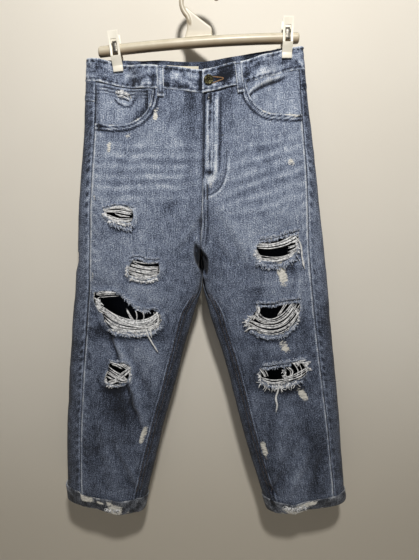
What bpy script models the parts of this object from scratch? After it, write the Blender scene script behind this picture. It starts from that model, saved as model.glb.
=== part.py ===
"""Ripped jeans on a clip hanger.

Washed denim jeans hang by the waistband from two clips on a plastic trouser hanger. Each cut piece of
denim is a thin wall on one shared form: the outline of each leg at every height, which runs on up to the
waist and is cut there at the centre seams. +Z is up, the front faces -Y, and the wearer's right is at -X.
The origin is the inside of the hook's crown, where the hanger rests on whatever holds it.
"""

import math

import bmesh
import bpy
import numpy as np
from mathutils import Matrix, Vector

for old in list(bpy.data.objects):
    bpy.data.objects.remove(old, do_unlink=True)

# Lengths below are in millimetres, and MM turns them into metres as each mesh is made.
MM = 0.001

# Cloth
WALL = 1.5  # denim panel
SEAM_GAP = 0.3  # between two pieces that are sewn together
CENTRE_CLEAR = 0.6  # from the centre line to each leg's pieces, where the two legs nearly touch
PATCH_WALL = 1.2  # pocket facing, patch pocket, coin pocket
BAND_WALL = 2.4  # folded waistband
BAND_HEIGHT = 40.0
BAND_PROUD = 0.6  # the waistband stands this far out of the panels
OVERLAP_LIFT = 3.2  # the buttoned end lies this far out of the end beneath it
UNDER_END_X = 48.0  # the hidden end of the waistband reaches this far under the fly
OVERLAP_STARTS_X = 82.0
FORK_Z = -548.0  # where the two inseams and the two centre seams meet
CUFF_HEIGHT = 32.0
PANEL_LIFT = 3.0  # the leg ends this far above the turned edge of its cuff
ROUND_POWER = 2.5  # 2 is an ellipse, and more is boxier
INSEAM_INSET = 13.0  # the inseam lies this far onto the front of the leg
YOKE_ROWS = 3

# Hanger
BAR_RADIUS = 9.5
BAR_ARCH = 5.0
BAR_LEFT_END = (-184.0, -112.5)
BAR_RIGHT_END = (184.0, -88.5)
HOOK_RADIUS = 32.0
HOOK_ROD_RADIUS = 4.5
HOOK_CENTRE_X = 1.0
FIN_THICKNESS = 4.0
CLIP_WIDTH = 18.5
CLIP_HEIGHT = 68.0
CLIP_WALL = 3.0
CLIP_WINDOW = (5.0, -14.0, -42.0)  # half its width, and its upper and lower ends from the clip's top
CLIP_GRIP_Z = -150.0  # height at which the jaws meet the waistband
CLIP_FLAT = 12.5  # the cloth is flat this far to each side of the middle of a clip
GRIP_DEPTH = 2.6  # from the middle plane to the face of the denim, where a clip presses it

# Outline of the legs, from the waist down. outer is the side of the silhouette, seam is the side seam,
# which lies on the front, and inner is the inside of the leg, which only counts below the fork.
RIGHT_LEG = (
    # z, outer, seam, inner
    (-110, -205, -187, 6),
    (-180, -212, -190, 6),
    (-250, -218, -195, 6),
    (-320, -226, -202, 6),
    (-400, -236, -209, 6),
    (-470, -242, -213, 6),
    (-548, -251, -218, 6),
    (-620, -260, -226, -15),
    (-700, -270, -235, -36),
    (-780, -278, -243, -57),
    (-860, -286, -251, -79),
    (-940, -291, -256, -99),
    (-1000, -293, -258, -113),
    (-1060, -290, -256, -126),
)
LEFT_LEG = (
    # z, outer, seam, inner
    (-110, 193, 182, 6),
    (-180, 202, 189, 6),
    (-250, 214, 196, 6),
    (-320, 224, 204, 6),
    (-400, 236, 209, 6),
    (-470, 247, 213, 6),
    (-548, 258, 222, 6),
    (-620, 268, 232, 24),
    (-700, 279, 244, 49),
    (-780, 290, 257, 70),
    (-860, 300, 270, 90),
    (-940, 310, 281, 112),
    (-1000, 317, 289, 131),
    (-1060, 323, 295, 150),
)
# How deep the form is, front and back, how far the curve of each half would run on past the centre line,
# where the centre line is, and how strongly the clips pinch the cloth together.
BODY = (
    # z, front, back, front_past, back_past, centre, pinch
    (-110, 20, 18, 140, 140, 9, 1.0),
    (-150, 22, 21, 140, 140, 9, 1.0),
    (-185, 24, 25, 138, 138, 9, 0.66),
    (-250, 28, 31, 125, 128, 8, 0.30),
    (-330, 31, 36, 95, 110, 8, 0.10),
    (-400, 33, 38, 66, 92, 6, 0.0),
    (-465, 33, 37, 34, 66, 3, 0.0),
    (-510, 33, 35, 11, 34, 4, 0.0),
    (-548, 32, 33, 0, 0, 6, 0.0),
    (-620, 31, 32, 0, 0, 6, 0.0),
    (-780, 30, 30, 0, 0, 6, 0.0),
    (-940, 28, 28, 0, 0, 6, 0.0),
    (-1060, 28, 28, 0, 0, 6, 0.0),
)
# Upper edge of the waistband: the front sags between the clips, and the back stays nearly level.
WAIST_TOP = (
    # x, front, back
    (-207, -124, -124),
    (-176, -127, -125),
    (-148, -134, -125),
    (-77, -140, -121),
    (-36, -143, -123),
    (6, -148, -123),
    (63, -136, -115),
    (86, -132, -112),
    (120, -121, -107),
    (150, -113, -105),
    (172, -106, -104),
    (193, -103, -103),
)
# Lower edge of the back yoke, below the waistband's upper edge.
YOKE = (
    # x, drop
    (-207, 74),
    (-100, 92),
    (6, 112),
    (100, 92),
    (193, 74),
)
# The rows of weave tilt as the legs splay: rise to the outer side for each millimetre across.
TILT = (
    # z, slope
    (-200, 0.0),
    (-400, 0.02),
    (-548, 0.05),
    (-780, 0.12),
    (-1043, 0.15),
)
HEM_Z = -1043.0
ROW_TOP_Z = -186.0  # where the first row of a panel would be if the waist were level
TOP_SHAPE_FADES = 190.0  # the waist's curve has left the rows this far down

# The largest folds, as soft troughs that run down the cloth. face is -1 for the front and 1 for the back.
FOLDS = (
    # face, x, z, half_length, half_width, depth, lean
    (-1, -188, -672, 70, 16, 4.0, 0.10),
    (-1, -118, -790, 95, 26, 3.0, -0.12),
    (-1, -40, -300, 90, 30, 2.0, 0.25),
    (-1, 92, -330, 110, 26, 2.5, -0.30),
    (-1, 205, -700, 120, 22, 3.0, -0.08),
    (-1, 132, -880, 110, 24, 3.0, -0.16),
    (1, -120, -470, 110, 34, 4.0, 0.35),
    (1, 128, -480, 110, 34, 4.0, -0.35),
    (1, -170, -700, 120, 24, 4.0, -0.10),
    (1, 175, -740, 130, 24, 4.0, 0.10),
)
# Worn-through openings in the front panels.
RIPS = (
    # name, x, z, width, height, slope
    ("right_thigh", -153, -413, 46, 24, 0.05),
    ("right_upper_knee", -107, -497, 62, 22, -0.02),
    ("right_knee", -148, -590, 98, 50, -0.16),
    ("right_shin", -168, -722, 42, 38, 0.10),
    ("left_thigh", 149, -461, 84, 38, 0.06),
    ("left_knee", 146, -600, 88, 38, 0.14),
    ("left_shin", 151, -724, 66, 34, 0.10),
)
RIP_CORNERS = 12

# Curved mouth of each front pocket, from the waistband to the side seam.
RIGHT_MOUTH = (
    # x, z
    (-83, -184), (-87, -204), (-97, -221), (-112, -233), (-132, -241), (-160, -243), (-196, -240),
)
LEFT_MOUTH = (
    # x, z
    (86, -172), (91, -190), (99, -203), (110, -213), (126, -221), (152, -223), (204, -224),
)
# Corners of the pieces behind the front, as x and z.
RIGHT_FACING = ((-100, -150), (-100, -196), (-72, -200), (-72, -300), (-196, -300), (-200, -150))
LEFT_FACING = ((76, -140), (76, -285), (203, -285), (200, -140))
COIN_POCKET = ((-92, -182), (-120, -180), (-148, -177), (-174, -171), (-189, -170), (-189, -262), (-96, -266))
FLY_ZIP = ((12, -192), (34, -192), (34, -338), (12, -338))
FLY_SHIELD = ((11, -190), (44, -190), (44, -320), (30, -352), (11, -360))
LABEL_ENDS = (-44, 0)  # where the inner label starts and stops, in x

# Back patch pocket, from the middle of its mouth.
POCKET_MIDDLES = {"right": -110, "left": 118}
POCKET_TOP_Z = -258
POCKET_HALF_MOUTH = 72
POCKET_HALF_FOOT = 62
POCKET_SIDE_LENGTH = 112
POCKET_POINT_LENGTH = 136

BELT_LOOPS = (
    # name, leg, face, x at the top, x at the foot
    ("front_right", "right", -1, -69, -70),
    ("front_left", "left", -1, 71, 77),
    ("back_right", "right", 1, -184, -187),
    ("back_left", "left", 1, 184, 188),
    ("back_centre", "right", 1, -3, -3),
)

CLIP_FEET = {"right": -148.0, "left": 162.0}
CLIP_LEAN = {"right": -6.5, "left": 0.0}  # degrees, top to the wearer's right
CLIP_TOPS = {"right": -79.0, "left": -56.0}

PANEL_COLUMNS = 12
PANEL_ROWS = 22
OUTLINE_POINTS = 90
PAST = 90.0  # a cutter reaches this far past the form


# ---------------------------------------------------------------- materials

def material(name, colour, roughness, metallic=0.0):
    made = bpy.data.materials.new(name)
    made.use_nodes = True
    shader = made.node_tree.nodes["Principled BSDF"]
    shader.inputs["Base Color"].default_value = (*colour, 1.0)
    shader.inputs["Roughness"].default_value = roughness
    shader.inputs["Metallic"].default_value = metallic
    return made


DENIM = material("washed_denim", (0.19, 0.23, 0.30), 0.9)
TAPE = material("cotton_tape", (0.72, 0.68, 0.58), 0.9)
BRASS = material("tarnished_brass", (0.30, 0.19, 0.10), 0.45, 1.0)
PLASTIC = material("ivory_plastic", (0.80, 0.77, 0.68), 0.4)
STEEL = material("spring_steel", (0.45, 0.44, 0.42), 0.35, 1.0)


# ---------------------------------------------------------------- the form

def along(rows, column, at):
    """Reads one column of a table at a place, on a smooth curve through its rows."""
    places = np.array([row[0] for row in rows], float)
    values = np.array([row[column] for row in rows], float)
    if places[0] > places[-1]:
        places, values = places[::-1], values[::-1]
    slopes = np.gradient(values, places)
    at = np.clip(at, places[0], places[-1])
    i = np.clip(np.searchsorted(places, at) - 1, 0, len(places) - 2)
    span = places[i + 1] - places[i]
    t = (at - places[i]) / span
    return (
        (2 * t**3 - 3 * t**2 + 1) * values[i]
        + (t**3 - 2 * t**2 + t) * span * slopes[i]
        + (3 * t**2 - 2 * t**3) * values[i + 1]
        + (t**3 - t**2) * span * slopes[i + 1]
    )


def straight(rows, column, at):
    """Reads one column of a table at a place, on straight lines between its rows."""
    order = sorted(rows)
    return np.interp(at, [row[0] for row in order], [row[column] for row in order])


def ease(t):
    t = np.clip(t, 0.0, 1.0)
    return t * t * (3 - 2 * t)


def pinched(x, y, z, deep):
    """Draws the cloth together at the two clips, in a pinch that widens as it fades down the cloth."""
    strength = straight(BODY, 6, z)
    width = 18 + 0.3 * max(0.0, -150 - z)
    for foot in CLIP_FEET.values():
        near = strength * np.exp(-((np.maximum(0, np.abs(x - foot) - CLIP_FLAT) / width) ** 2))
        y = y * (1 - near) + np.sign(y) * GRIP_DEPTH * near * np.minimum(1, 3 * deep)
    return y


def folded(x, y, z, face, deep):
    """Presses the large folds into the front or the back."""
    for fold_face, fx, fz, half_length, half_width, depth, lean in FOLDS:
        if fold_face != face:
            continue
        down = (z - fz) / half_length
        across = (x - fx - lean * (z - fz)) / half_width
        y = y - face * deep * depth * np.exp(-(across**2) - down**2)
    return y


def leg_table(leg):
    return RIGHT_LEG if leg == "right" else LEFT_LEG


def side_of(leg):
    return -1 if leg == "right" else 1


def outline(leg, z):
    """One leg's outline at height z: points, the length along them, and where its two seams are.

    It runs from the inner end of the front, round the outer side, to the inner end of the back. Above the
    fork both ends are on the centre line, and below it they meet.
    """
    side = side_of(leg)
    outer = along(leg_table(leg), 1, z)
    inner = along(leg_table(leg), 3, min(z, FORK_Z)) + side * CENTRE_CLEAR
    centre = straight(BODY, 5, z) + side * CENTRE_CLEAR
    turn = np.linspace(0, math.pi, OUTLINE_POINTS)
    across = np.sign(np.cos(turn)) * np.abs(np.cos(turn)) ** (2 / ROUND_POWER)
    deep = np.sin(turn).clip(0, 1) ** (2 / ROUND_POWER)
    halves = []
    for face, depth_column, past_column in ((-1, 1, 3), (1, 2, 4)):
        far = inner if z <= FORK_Z else centre - side * straight(BODY, past_column, z)
        x = (outer + far) / 2 + (outer - far) / 2 * across
        y = face * straight(BODY, depth_column, z) * deep
        y = pinched(x, y, z, deep)
        y = folded(x, y, z, face, deep)
        if z > FORK_Z:
            kept = side * (x - centre) > 0
            end_y = np.interp(side * centre, side * x[::-1], y[::-1])
            x = np.append(x[kept], centre)
            y = np.append(y[kept], end_y)
        halves.append(np.column_stack([x, y]))
    front = halves[0][::-1]
    points = np.vstack([front, halves[1][1:]])
    length = np.append(0, np.cumsum(np.hypot(*np.diff(points, axis=0).T)))
    front_length = length[: len(front)]
    side_seam = np.interp(side * along(leg_table(leg), 2, z), side * front[:, 0], front_length)
    start = inner if z <= FORK_Z else centre
    inseam_x = side * start + INSEAM_INSET * ease((FORK_Z - z) / 60)
    inseam = np.interp(inseam_x, side * front[:, 0], front_length)
    return points, length, side_seam, inseam


def at_length(points, length, where):
    """The point this far along an outline, which is closed when where runs past its end."""
    if where > length[-1] or where < 0:
        where = where % length[-1]
    return np.array([np.interp(where, length, points[:, 0]), np.interp(where, length, points[:, 1])])


def off_panel(leg, face, u, z, out):
    """A point on the front (-1) or back (1) of a leg, or held this far off it.

    u runs from the inner seam (0) to the side seam (1).
    """
    points, length, side_seam, inseam = outline(leg, z)
    start, end = (inseam, side_seam) if face == -1 else (length[-1] + inseam, side_seam)
    clear = math.copysign(SEAM_GAP / 2, end - start)
    where = start + clear + (end - start - 2 * clear) * u
    x, y = at_length(points, length, where)
    if z > FORK_Z:
        where = np.clip(where, 1.0, length[-1] - 1.0)
    along_x, along_y = at_length(points, length, where + 1.0) - at_length(points, length, where - 1.0)
    outward = Vector((along_y, -along_x, 0)).normalized() * side_of(leg)
    return Vector((x, y, z)) + outward * out


def on_panel(leg, face, u, z):
    return off_panel(leg, face, u, z, 0.0)


def waist_line(x, face, drop):
    """Height of a line that follows the waist, this far below the waistband's upper edge."""
    return along(WAIST_TOP, 1 if face == -1 else 2, x) - drop


def row_height(leg, x, y, z):
    """Bends a level row to follow the waist at the top and the splay of the legs further down."""
    fade = ease(1 - (ROW_TOP_Z - z) / TOP_SHAPE_FADES)
    front = waist_line(x, -1, BAND_HEIGHT) - ROW_TOP_Z
    back = waist_line(x, 1, BAND_HEIGHT) - ROW_TOP_Z
    share = 0.5 - 0.5 * np.clip(y / 12, -1, 1)
    middle = (along(leg_table(leg), 1, z) + along(leg_table(leg), 3, min(z, FORK_Z))) / 2
    tilt = straight(TILT, 1, z) * side_of(leg) * (x - middle)
    return z + fade * (front * share + back * (1 - share)) + tilt


def crowded(count):
    """Places from 0 to 1 that crowd towards both ends, where the cloth turns."""
    steps = np.linspace(0, 1, count + 1)
    return 0.55 * steps + 0.45 * (0.5 - 0.5 * np.cos(math.pi * steps))


def columns_of(leg, face):
    """Where a panel's columns stand, with one at each edge of the flat place under the clip."""
    places = crowded(PANEL_COLUMNS)
    fine = np.linspace(0, 1, 80)
    reached = np.array([on_panel(leg, face, u, CLIP_GRIP_Z).x for u in fine]) * side_of(leg)
    for edge in (-CLIP_FLAT, CLIP_FLAT):
        wanted = np.interp(side_of(leg) * CLIP_FEET[leg] + edge, reached, fine)
        places[np.argmin(np.abs(places - wanted))] = wanted
    return places


def panel_grid(leg, face):
    """Rows of (u, z) pairs from the lower edge of the waistband to the hem."""
    heights = np.concatenate([
        np.linspace(ROW_TOP_Z, FORK_Z, PANEL_ROWS // 2 + 1),
        np.linspace(FORK_Z, HEM_Z + PANEL_LIFT, PANEL_ROWS // 2 + 1)[1:],
    ])
    grid = []
    for level in heights:
        row = []
        for u in columns_of(leg, face):
            flat = on_panel(leg, face, u, level)
            row.append((u, row_height(leg, flat.x, flat.y, level)))
        grid.append(row)
    return np.array(grid)


# ---------------------------------------------------------------- meshes

def add_object(name, build, finish, smooth_angle):
    mesh = bpy.data.meshes.new(name)
    build.to_mesh(mesh)
    build.free()
    made = bpy.data.objects.new(name, mesh)
    bpy.context.collection.objects.link(made)
    mesh.materials.append(finish)
    mesh.shade_smooth()
    mesh.set_sharp_from_angle(angle=math.radians(smooth_angle))
    return made


def sheet(name, outer, inner, finish):
    """A wall of cloth between two grids of points: its outer face and its inner face."""
    build = bmesh.new()
    layers = []
    for grid in (outer, inner):
        layers.append([[build.verts.new(Vector(point) * MM) for point in row] for row in grid])
        for upper, lower in zip(layers[-1], layers[-1][1:]):
            for a, b, c, d in zip(upper, upper[1:], lower[1:], lower):
                build.faces.new((a, b, c))
                build.faces.new((a, c, d))
    rims = []
    for layer in layers:
        right_side = [row[-1] for row in layer[1:-1]]
        left_side = [row[0] for row in layer[-2:0:-1]]
        rims.append(layer[0] + right_side + layer[-1][::-1] + left_side)
    for a, b, c, d in zip(rims[0], rims[0][1:] + rims[0][:1], rims[1][1:] + rims[1][:1], rims[1]):
        build.faces.new((a, b, c, d))
    bmesh.ops.recalc_face_normals(build, faces=build.faces)
    return add_object(name, build, finish, 50)


def prism(name, corners, low_y, high_y):
    """A prism along Y with this outline in X and Z, which a Boolean cuts with."""
    build = bmesh.new()
    ring = [build.verts.new(Vector((x, low_y, z)) * MM) for x, z in corners]
    grown = bmesh.ops.extrude_face_region(build, geom=[build.faces.new(ring)])
    moved = [v for v in grown["geom"] if isinstance(v, bmesh.types.BMVert)]
    bmesh.ops.translate(build, verts=moved, vec=Vector((0, (high_y - low_y) * MM, 0)))
    bmesh.ops.recalc_face_normals(build, faces=build.faces)
    return helper(add_object(name, build, DENIM, 40))


def helper(made):
    made.hide_render = True
    made.display_type = "WIRE"
    return made


def boolean(target, tool, operation):
    step = target.modifiers.new(tool.name, "BOOLEAN")
    step.operation = operation
    step.object = tool


def held_off(leg, face, grid, out):
    """Points of the form for a grid of (u, z) pairs, all held this far off it."""
    return np.array([[off_panel(leg, face, u, z, out) for u, z in row] for row in grid])


GRIDS = {(leg, face): panel_grid(leg, face) for leg in ("right", "left") for face in (-1, 1)}


def laid_on(name, leg, face, out, corners, wall=PATCH_WALL, finish=DENIM):
    """A piece that lies on a panel, or under it: the panel's own points moved out, cut to an outline."""
    grid = GRIDS[leg, face]
    points = held_off(leg, face, grid, 0.0)
    xs, zs = zip(*corners)
    inside = (points[..., 0] > min(xs)) & (points[..., 0] < max(xs)) & (points[..., 1] * face > 0)
    inside &= (points[..., 2] > min(zs)) & (points[..., 2] < max(zs))
    rows, columns = np.nonzero(inside)
    block = grid[max(rows.min() - 1, 0) : rows.max() + 2, max(columns.min() - 1, 0) : columns.max() + 2]
    made = sheet(name, held_off(leg, face, block, out), held_off(leg, face, block, out - wall), finish)
    low, high = (-PAST, 0) if face == -1 else (0, PAST)
    boolean(made, prism(name + "_outline", corners, low, high), "INTERSECT")
    return made


# ---------------------------------------------------------------- denim panels

def mouth_outline(curve, side, far=260, top=-60):
    """A pocket mouth's curve, closed round the corner that it removes from the panel."""
    return [(curve[0][0], top), *curve, (side * far, curve[-1][1]), (side * far, top)]


def rip_outline(x, z, width, height, slope):
    """A worn opening: a rounded outline that follows the slope of the weft."""
    corners = []
    for i in range(RIP_CORNERS):
        angle = 2 * math.pi * (i + 0.5) / RIP_CORNERS
        across = width / 2 * math.cos(angle)
        corners.append((x + across, z + slope * across + height / 2 * math.sin(angle)))
    return corners


def panel(name, leg, face, grid):
    return sheet(name, held_off(leg, face, grid, 0.0), held_off(leg, face, grid, -WALL), DENIM)


def front_panels():
    for leg, curve in (("right", RIGHT_MOUTH), ("left", LEFT_MOUTH)):
        grid = GRIDS[leg, -1].copy()
        grid[0, :, 1] -= SEAM_GAP
        front = panel("front_panel_" + leg, leg, -1, grid)
        mouth = prism("pocket_mouth_" + leg, mouth_outline(curve, side_of(leg)), -PAST, 0)
        boolean(front, mouth, "DIFFERENCE")
        for name, x, z, width, height, slope in RIPS:
            if name.startswith(leg):
                opening = prism("rip_" + name, rip_outline(x, z, width, height, slope), -PAST, 0)
                boolean(front, opening, "DIFFERENCE")


def back_panels_and_yokes():
    """The yoke seam runs across the seat, lower at the centre, and both pieces share its columns."""
    for leg in ("right", "left"):
        grid = GRIDS[leg, 1]
        top_x = held_off(leg, 1, grid[:1], 0.0)[0, :, 0]
        seam_z = waist_line(top_x, 1, 0) - along(YOKE, 1, top_x)
        top_z = grid[0, :, 1] - SEAM_GAP
        yoke = []
        for share in np.linspace(0, 1, YOKE_ROWS + 1):
            yoke.append(np.column_stack([grid[0, :, 0], top_z + (seam_z - top_z) * share]))
        panel("back_yoke_" + leg, leg, 1, yoke)
        below = grid[:, :, 1].max(axis=1) < seam_z.min() - 12
        top = np.column_stack([grid[0, :, 0], seam_z - SEAM_GAP])
        panel("back_panel_" + leg, leg, 1, [top, *grid[below]])


# ---------------------------------------------------------------- pockets and fly

def pocket_facings():
    """The denim behind each pocket mouth, and the small coin pocket laid on the right-hand one."""
    under = -(WALL + SEAM_GAP)
    laid_on("pocket_facing_right", "right", -1, under - PATCH_WALL - SEAM_GAP, RIGHT_FACING)
    laid_on("pocket_facing_left", "left", -1, under, LEFT_FACING)
    laid_on("coin_pocket", "right", -1, under, COIN_POCKET)


def back_pockets():
    """Patch pockets with a pointed lower edge, one on each side of the seat."""
    foot_z = POCKET_TOP_Z - POCKET_SIDE_LENGTH
    for leg, middle in POCKET_MIDDLES.items():
        corners = (
            (middle - POCKET_HALF_MOUTH, POCKET_TOP_Z),
            (middle + POCKET_HALF_MOUTH, POCKET_TOP_Z),
            (middle + POCKET_HALF_FOOT, foot_z),
            (middle, POCKET_TOP_Z - POCKET_POINT_LENGTH),
            (middle - POCKET_HALF_FOOT, foot_z),
        )
        laid_on("back_pocket_" + leg, leg, 1, PATCH_WALL + 2 * SEAM_GAP, corners)


def fly():
    """The closed zip behind the fly, and the fly shield behind the zip."""
    under = -(WALL + SEAM_GAP)
    laid_on("fly_zip", "left", -1, under, FLY_ZIP, PATCH_WALL, TAPE)
    laid_on("fly_shield", "left", -1, under - PATCH_WALL - SEAM_GAP, FLY_SHIELD)


# ---------------------------------------------------------------- waistband and what is on it

def band_point(leg, face, u, drop, out):
    """A point of the waistband, u across a panel, this far below its upper edge and out of the form."""
    level = on_panel(leg, face, u, ROW_TOP_Z)
    z = row_height(leg, level.x, level.y, ROW_TOP_Z) + BAND_HEIGHT - drop
    return off_panel(leg, face, u, z, out)


def u_at(leg, face, x, z):
    """How far across a panel the cloth reaches x, at height z."""
    steps = np.linspace(0, 1, 60)
    reached = np.array([on_panel(leg, face, step, z).x for step in steps]) * side_of(leg)
    if face == 1:
        upto = int(np.argmax(reached)) + 1
        steps, reached = steps[:upto], reached[:upto]
    return float(np.interp(x * side_of(leg), reached, steps))


def band_lift(x):
    """The buttoned end rises over the end beneath it."""
    return OVERLAP_LIFT * ease((OVERLAP_STARTS_X - x) / 26)


def band_stations():
    """The waistband's columns, which are the panels' own, with its hidden end and its buttoned end."""
    hidden = [("left", -1, u_at("left", -1, x, CLIP_GRIP_Z), 0.0) for x in (UNDER_END_X, 34, 22)]
    stations = hidden
    stations += [("right", -1, u, 0.0) for u in columns_of("right", -1)]
    stations += [("right", 1, u, 0.0) for u in columns_of("right", 1)[-2::-1]]
    stations += [("left", 1, u, 0.0) for u in columns_of("left", 1)[1:-1]]
    for u in columns_of("left", -1)[::-1]:
        stations.append(("left", -1, u, band_lift(on_panel("left", -1, u, CLIP_GRIP_Z).x)))
    return stations


def waistband():
    """One folded strip round the waist, whose buttoned end lies over its hidden end."""
    layers = []
    for out in (BAND_PROUD, BAND_PROUD - BAND_WALL):
        layers.append([
            [band_point(leg, face, u, drop, out + lift) for leg, face, u, lift in band_stations()]
            for drop in (0.0, BAND_HEIGHT / 2, BAND_HEIGHT)
        ])
    sheet("waistband", *layers, DENIM)


def belt_loops():
    """Strips of folded denim over the waistband: two in front, two behind the sides, one at the back."""
    width = 12.0
    profile = (
        # drop below the waistband's upper edge, stand-off from the waistband's face
        (1, 0.8), (9, 2.0), (20, 2.6), (32, 2.0), (41, 0.9), (54, 0.5),
    )
    for name, leg, face, top_x, foot_x in BELT_LOOPS:
        layers = []
        for thick in (WALL, 0.0):
            grid = []
            for drop, out in profile:
                middle = top_x + (foot_x - top_x) * drop / profile[-1][0]
                row = []
                for x in (middle - width / 2, middle, middle + width / 2):
                    lift = band_lift(x) if name == "front_left" else 0.0
                    u = u_at(leg, face, x, CLIP_GRIP_Z)
                    row.append(band_point(leg, face, u, drop, BAND_PROUD + lift + out + thick))
                grid.append(row)
            layers.append(grid)
        sheet("belt_loop_" + name, *layers, DENIM)


def inner_label():
    """A plain strip of tape inside the back of the waistband, with nothing on it."""
    layers = []
    for out in (-2 * SEAM_GAP, -2 * SEAM_GAP - 1.0):
        grid = []
        for drop in (12, 20, 28):
            us = [u_at("right", 1, x, CLIP_GRIP_Z) for x in np.linspace(*LABEL_ENDS, 5)]
            grid.append([band_point("right", 1, u, drop, BAND_PROUD - BAND_WALL + out) for u in us])
        layers.append(grid)
    sheet("inner_label", *layers, TAPE)


def turned(name, centre, facing, profile, finish, segments):
    """A turned metal piece: the profile gives radius and height, from its foot to its middle."""
    build = bmesh.new()
    turn = Vector((0, 0, 1)).rotation_difference(facing)
    rings = []
    for radius, height in profile:
        ring = []
        for i in range(segments):
            angle = 2 * math.pi * i / segments
            place = Vector((radius * math.cos(angle), radius * math.sin(angle), height))
            ring.append(build.verts.new((centre + turn @ place) * MM))
        rings.append(ring)
    for lower, upper in zip(rings, rings[1:]):
        for i in range(segments):
            j = (i + 1) % segments
            build.faces.new((lower[i], lower[j], upper[j], upper[i]))
    build.faces.new(rings[0][::-1])
    build.faces.new(rings[-1])
    return add_object(name, build, finish, 40)


def face_of(cloth, x, z):
    """Where a straight line from the front meets a piece of cloth, and which way the cloth faces there."""
    bpy.context.view_layer.update()
    seen = cloth.evaluated_get(bpy.context.evaluated_depsgraph_get())
    _, place, normal, _ = seen.ray_cast(Vector((x, -PAST, z)) * MM, Vector((0, 1, 0)))
    return place / MM, normal


def button_and_rivet():
    button = (
        # radius, height
        (4.4, 0.0), (4.8, 1.4), (8.2, 1.5), (8.7, 2.2), (8.4, 3.2), (7.0, 3.5), (2.6, 3.0),
    )
    rivet = ((4.4, 0.0), (4.4, 0.6), (2.6, 1.2))
    fixed = (
        # name, what it is fixed to, x, z, gap, profile, segments
        ("waist_button", "waistband", 18.5, -167, 0.3, button, 20),
        ("coin_pocket_rivet", "coin_pocket", -170, -178, 0.4, rivet, 12),
    )
    for name, cloth, x, z, gap, profile, segments in fixed:
        place, facing = face_of(bpy.data.objects[cloth], x, z)
        turned(name, place + facing * gap, facing, profile, BRASS, segments)


# ---------------------------------------------------------------- cuffs

def cuffs():
    """Each hem is turned up once: a doubled band of denim that wraps under the end of the leg.

    It stands on the panels' own columns, all round the leg.
    """
    profile = (
        # out of the leg's face, height above the turned edge
        (0.7, CUFF_HEIGHT - 1), (1.5, CUFF_HEIGHT), (2.8, 30.5), (3.2, 16.0), (2.8, 2.0), (1.2, 0.0),
        (-0.9, 0.0), (-1.9, 1.2), (-1.8, 2.5), (0.7, 2.6),
    )
    for leg in ("right", "left"):
        stations = [(-1, u) for u in columns_of(leg, -1)] + [(1, u) for u in columns_of(leg, 1)[-2:0:-1]]
        build = bmesh.new()
        rings = []
        for face, u in stations:
            level = on_panel(leg, face, u, HEM_Z)
            hem = row_height(leg, level.x, level.y, HEM_Z)
            ring = [off_panel(leg, face, u, hem + rise, out) for out, rise in profile]
            rings.append([build.verts.new(place * MM) for place in ring])
        for here, there in zip(rings, rings[1:] + rings[:1]):
            for i in range(len(profile)):
                j = (i + 1) % len(profile)
                build.faces.new((here[i], here[j], there[j], there[i]))
        bmesh.ops.recalc_face_normals(build, faces=build.faces)
        add_object("cuff_" + leg, build, DENIM, 50)


# ---------------------------------------------------------------- hanger

def rod(name, route, radius, sides):
    """A round rod along a route of points, with closed ends, as a mesh."""
    curve = bpy.data.curves.new(name, "CURVE")
    curve.dimensions = "3D"
    curve.bevel_depth = radius * MM
    curve.bevel_resolution = sides
    curve.use_fill_caps = True
    line = curve.splines.new("POLY")
    line.points.add(len(route) - 1)
    for point, place in zip(line.points, route):
        point.co = (*(Vector(place) * MM), 1.0)
    guide = bpy.data.objects.new(name + "_guide", curve)
    bpy.context.collection.objects.link(guide)
    graph = bpy.context.evaluated_depsgraph_get()
    build = bmesh.new()
    build.from_mesh(guide.evaluated_get(graph).to_mesh())
    bpy.data.objects.remove(guide, do_unlink=True)
    bmesh.ops.remove_doubles(build, verts=build.verts, dist=1e-6)
    bmesh.ops.recalc_face_normals(build, faces=build.faces)
    return add_object(name, build, PLASTIC, 40)


def bar_height(x):
    """The bar slopes up to the wearer's left and arches a little between its ends."""
    (x0, z0), (x1, z1) = BAR_LEFT_END, BAR_RIGHT_END
    t = (x - x0) / (x1 - x0)
    return z0 + (z1 - z0) * t + BAR_ARCH * 4 * t * (1 - t)


def hanger_frame():
    """One moulding: the bar with rounded ends, the fin on top of it and the hook."""
    fin_outline = (
        # x, z: down the straight upper edge, round the tip, and back up the hollow edge
        (-29, -36), (-22, -36), (17, -65), (23, -69), (25, -76), (25, bar_height(25)),
        (-28, bar_height(-28)), (-23, -80), (-21, -66), (-25, -50),
    )
    route = [(x, 0, bar_height(x)) for x in np.linspace(BAR_LEFT_END[0], BAR_RIGHT_END[0], 13)]
    frame = rod("hanger_frame", route, BAR_RADIUS, 4)
    rounded = frame.modifiers.new("rounded_ends", "BEVEL")
    rounded.width = 4 * MM
    rounded.segments = 2
    rounded.limit_method = "ANGLE"
    rounded.angle_limit = math.radians(60)
    centre_z = HOOK_ROD_RADIUS - HOOK_RADIUS
    hook = []
    for turn in np.radians(np.linspace(4, 228, 24)):
        x = HOOK_CENTRE_X + HOOK_RADIUS * math.cos(turn)
        hook.append((x, 0, centre_z + HOOK_RADIUS * math.sin(turn)))
    hook += [(-14, 0, -64), (-9, 0, -76), (-7, 0, bar_height(-7))]
    stem = helper(rod("hook_rod", hook, HOOK_ROD_RADIUS, 3))
    fin = prism("hook_fin", fin_outline, -FIN_THICKNESS / 2, FIN_THICKNESS / 2)
    boolean(frame, stem, "UNION")
    boolean(frame, fin, "UNION")


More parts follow.
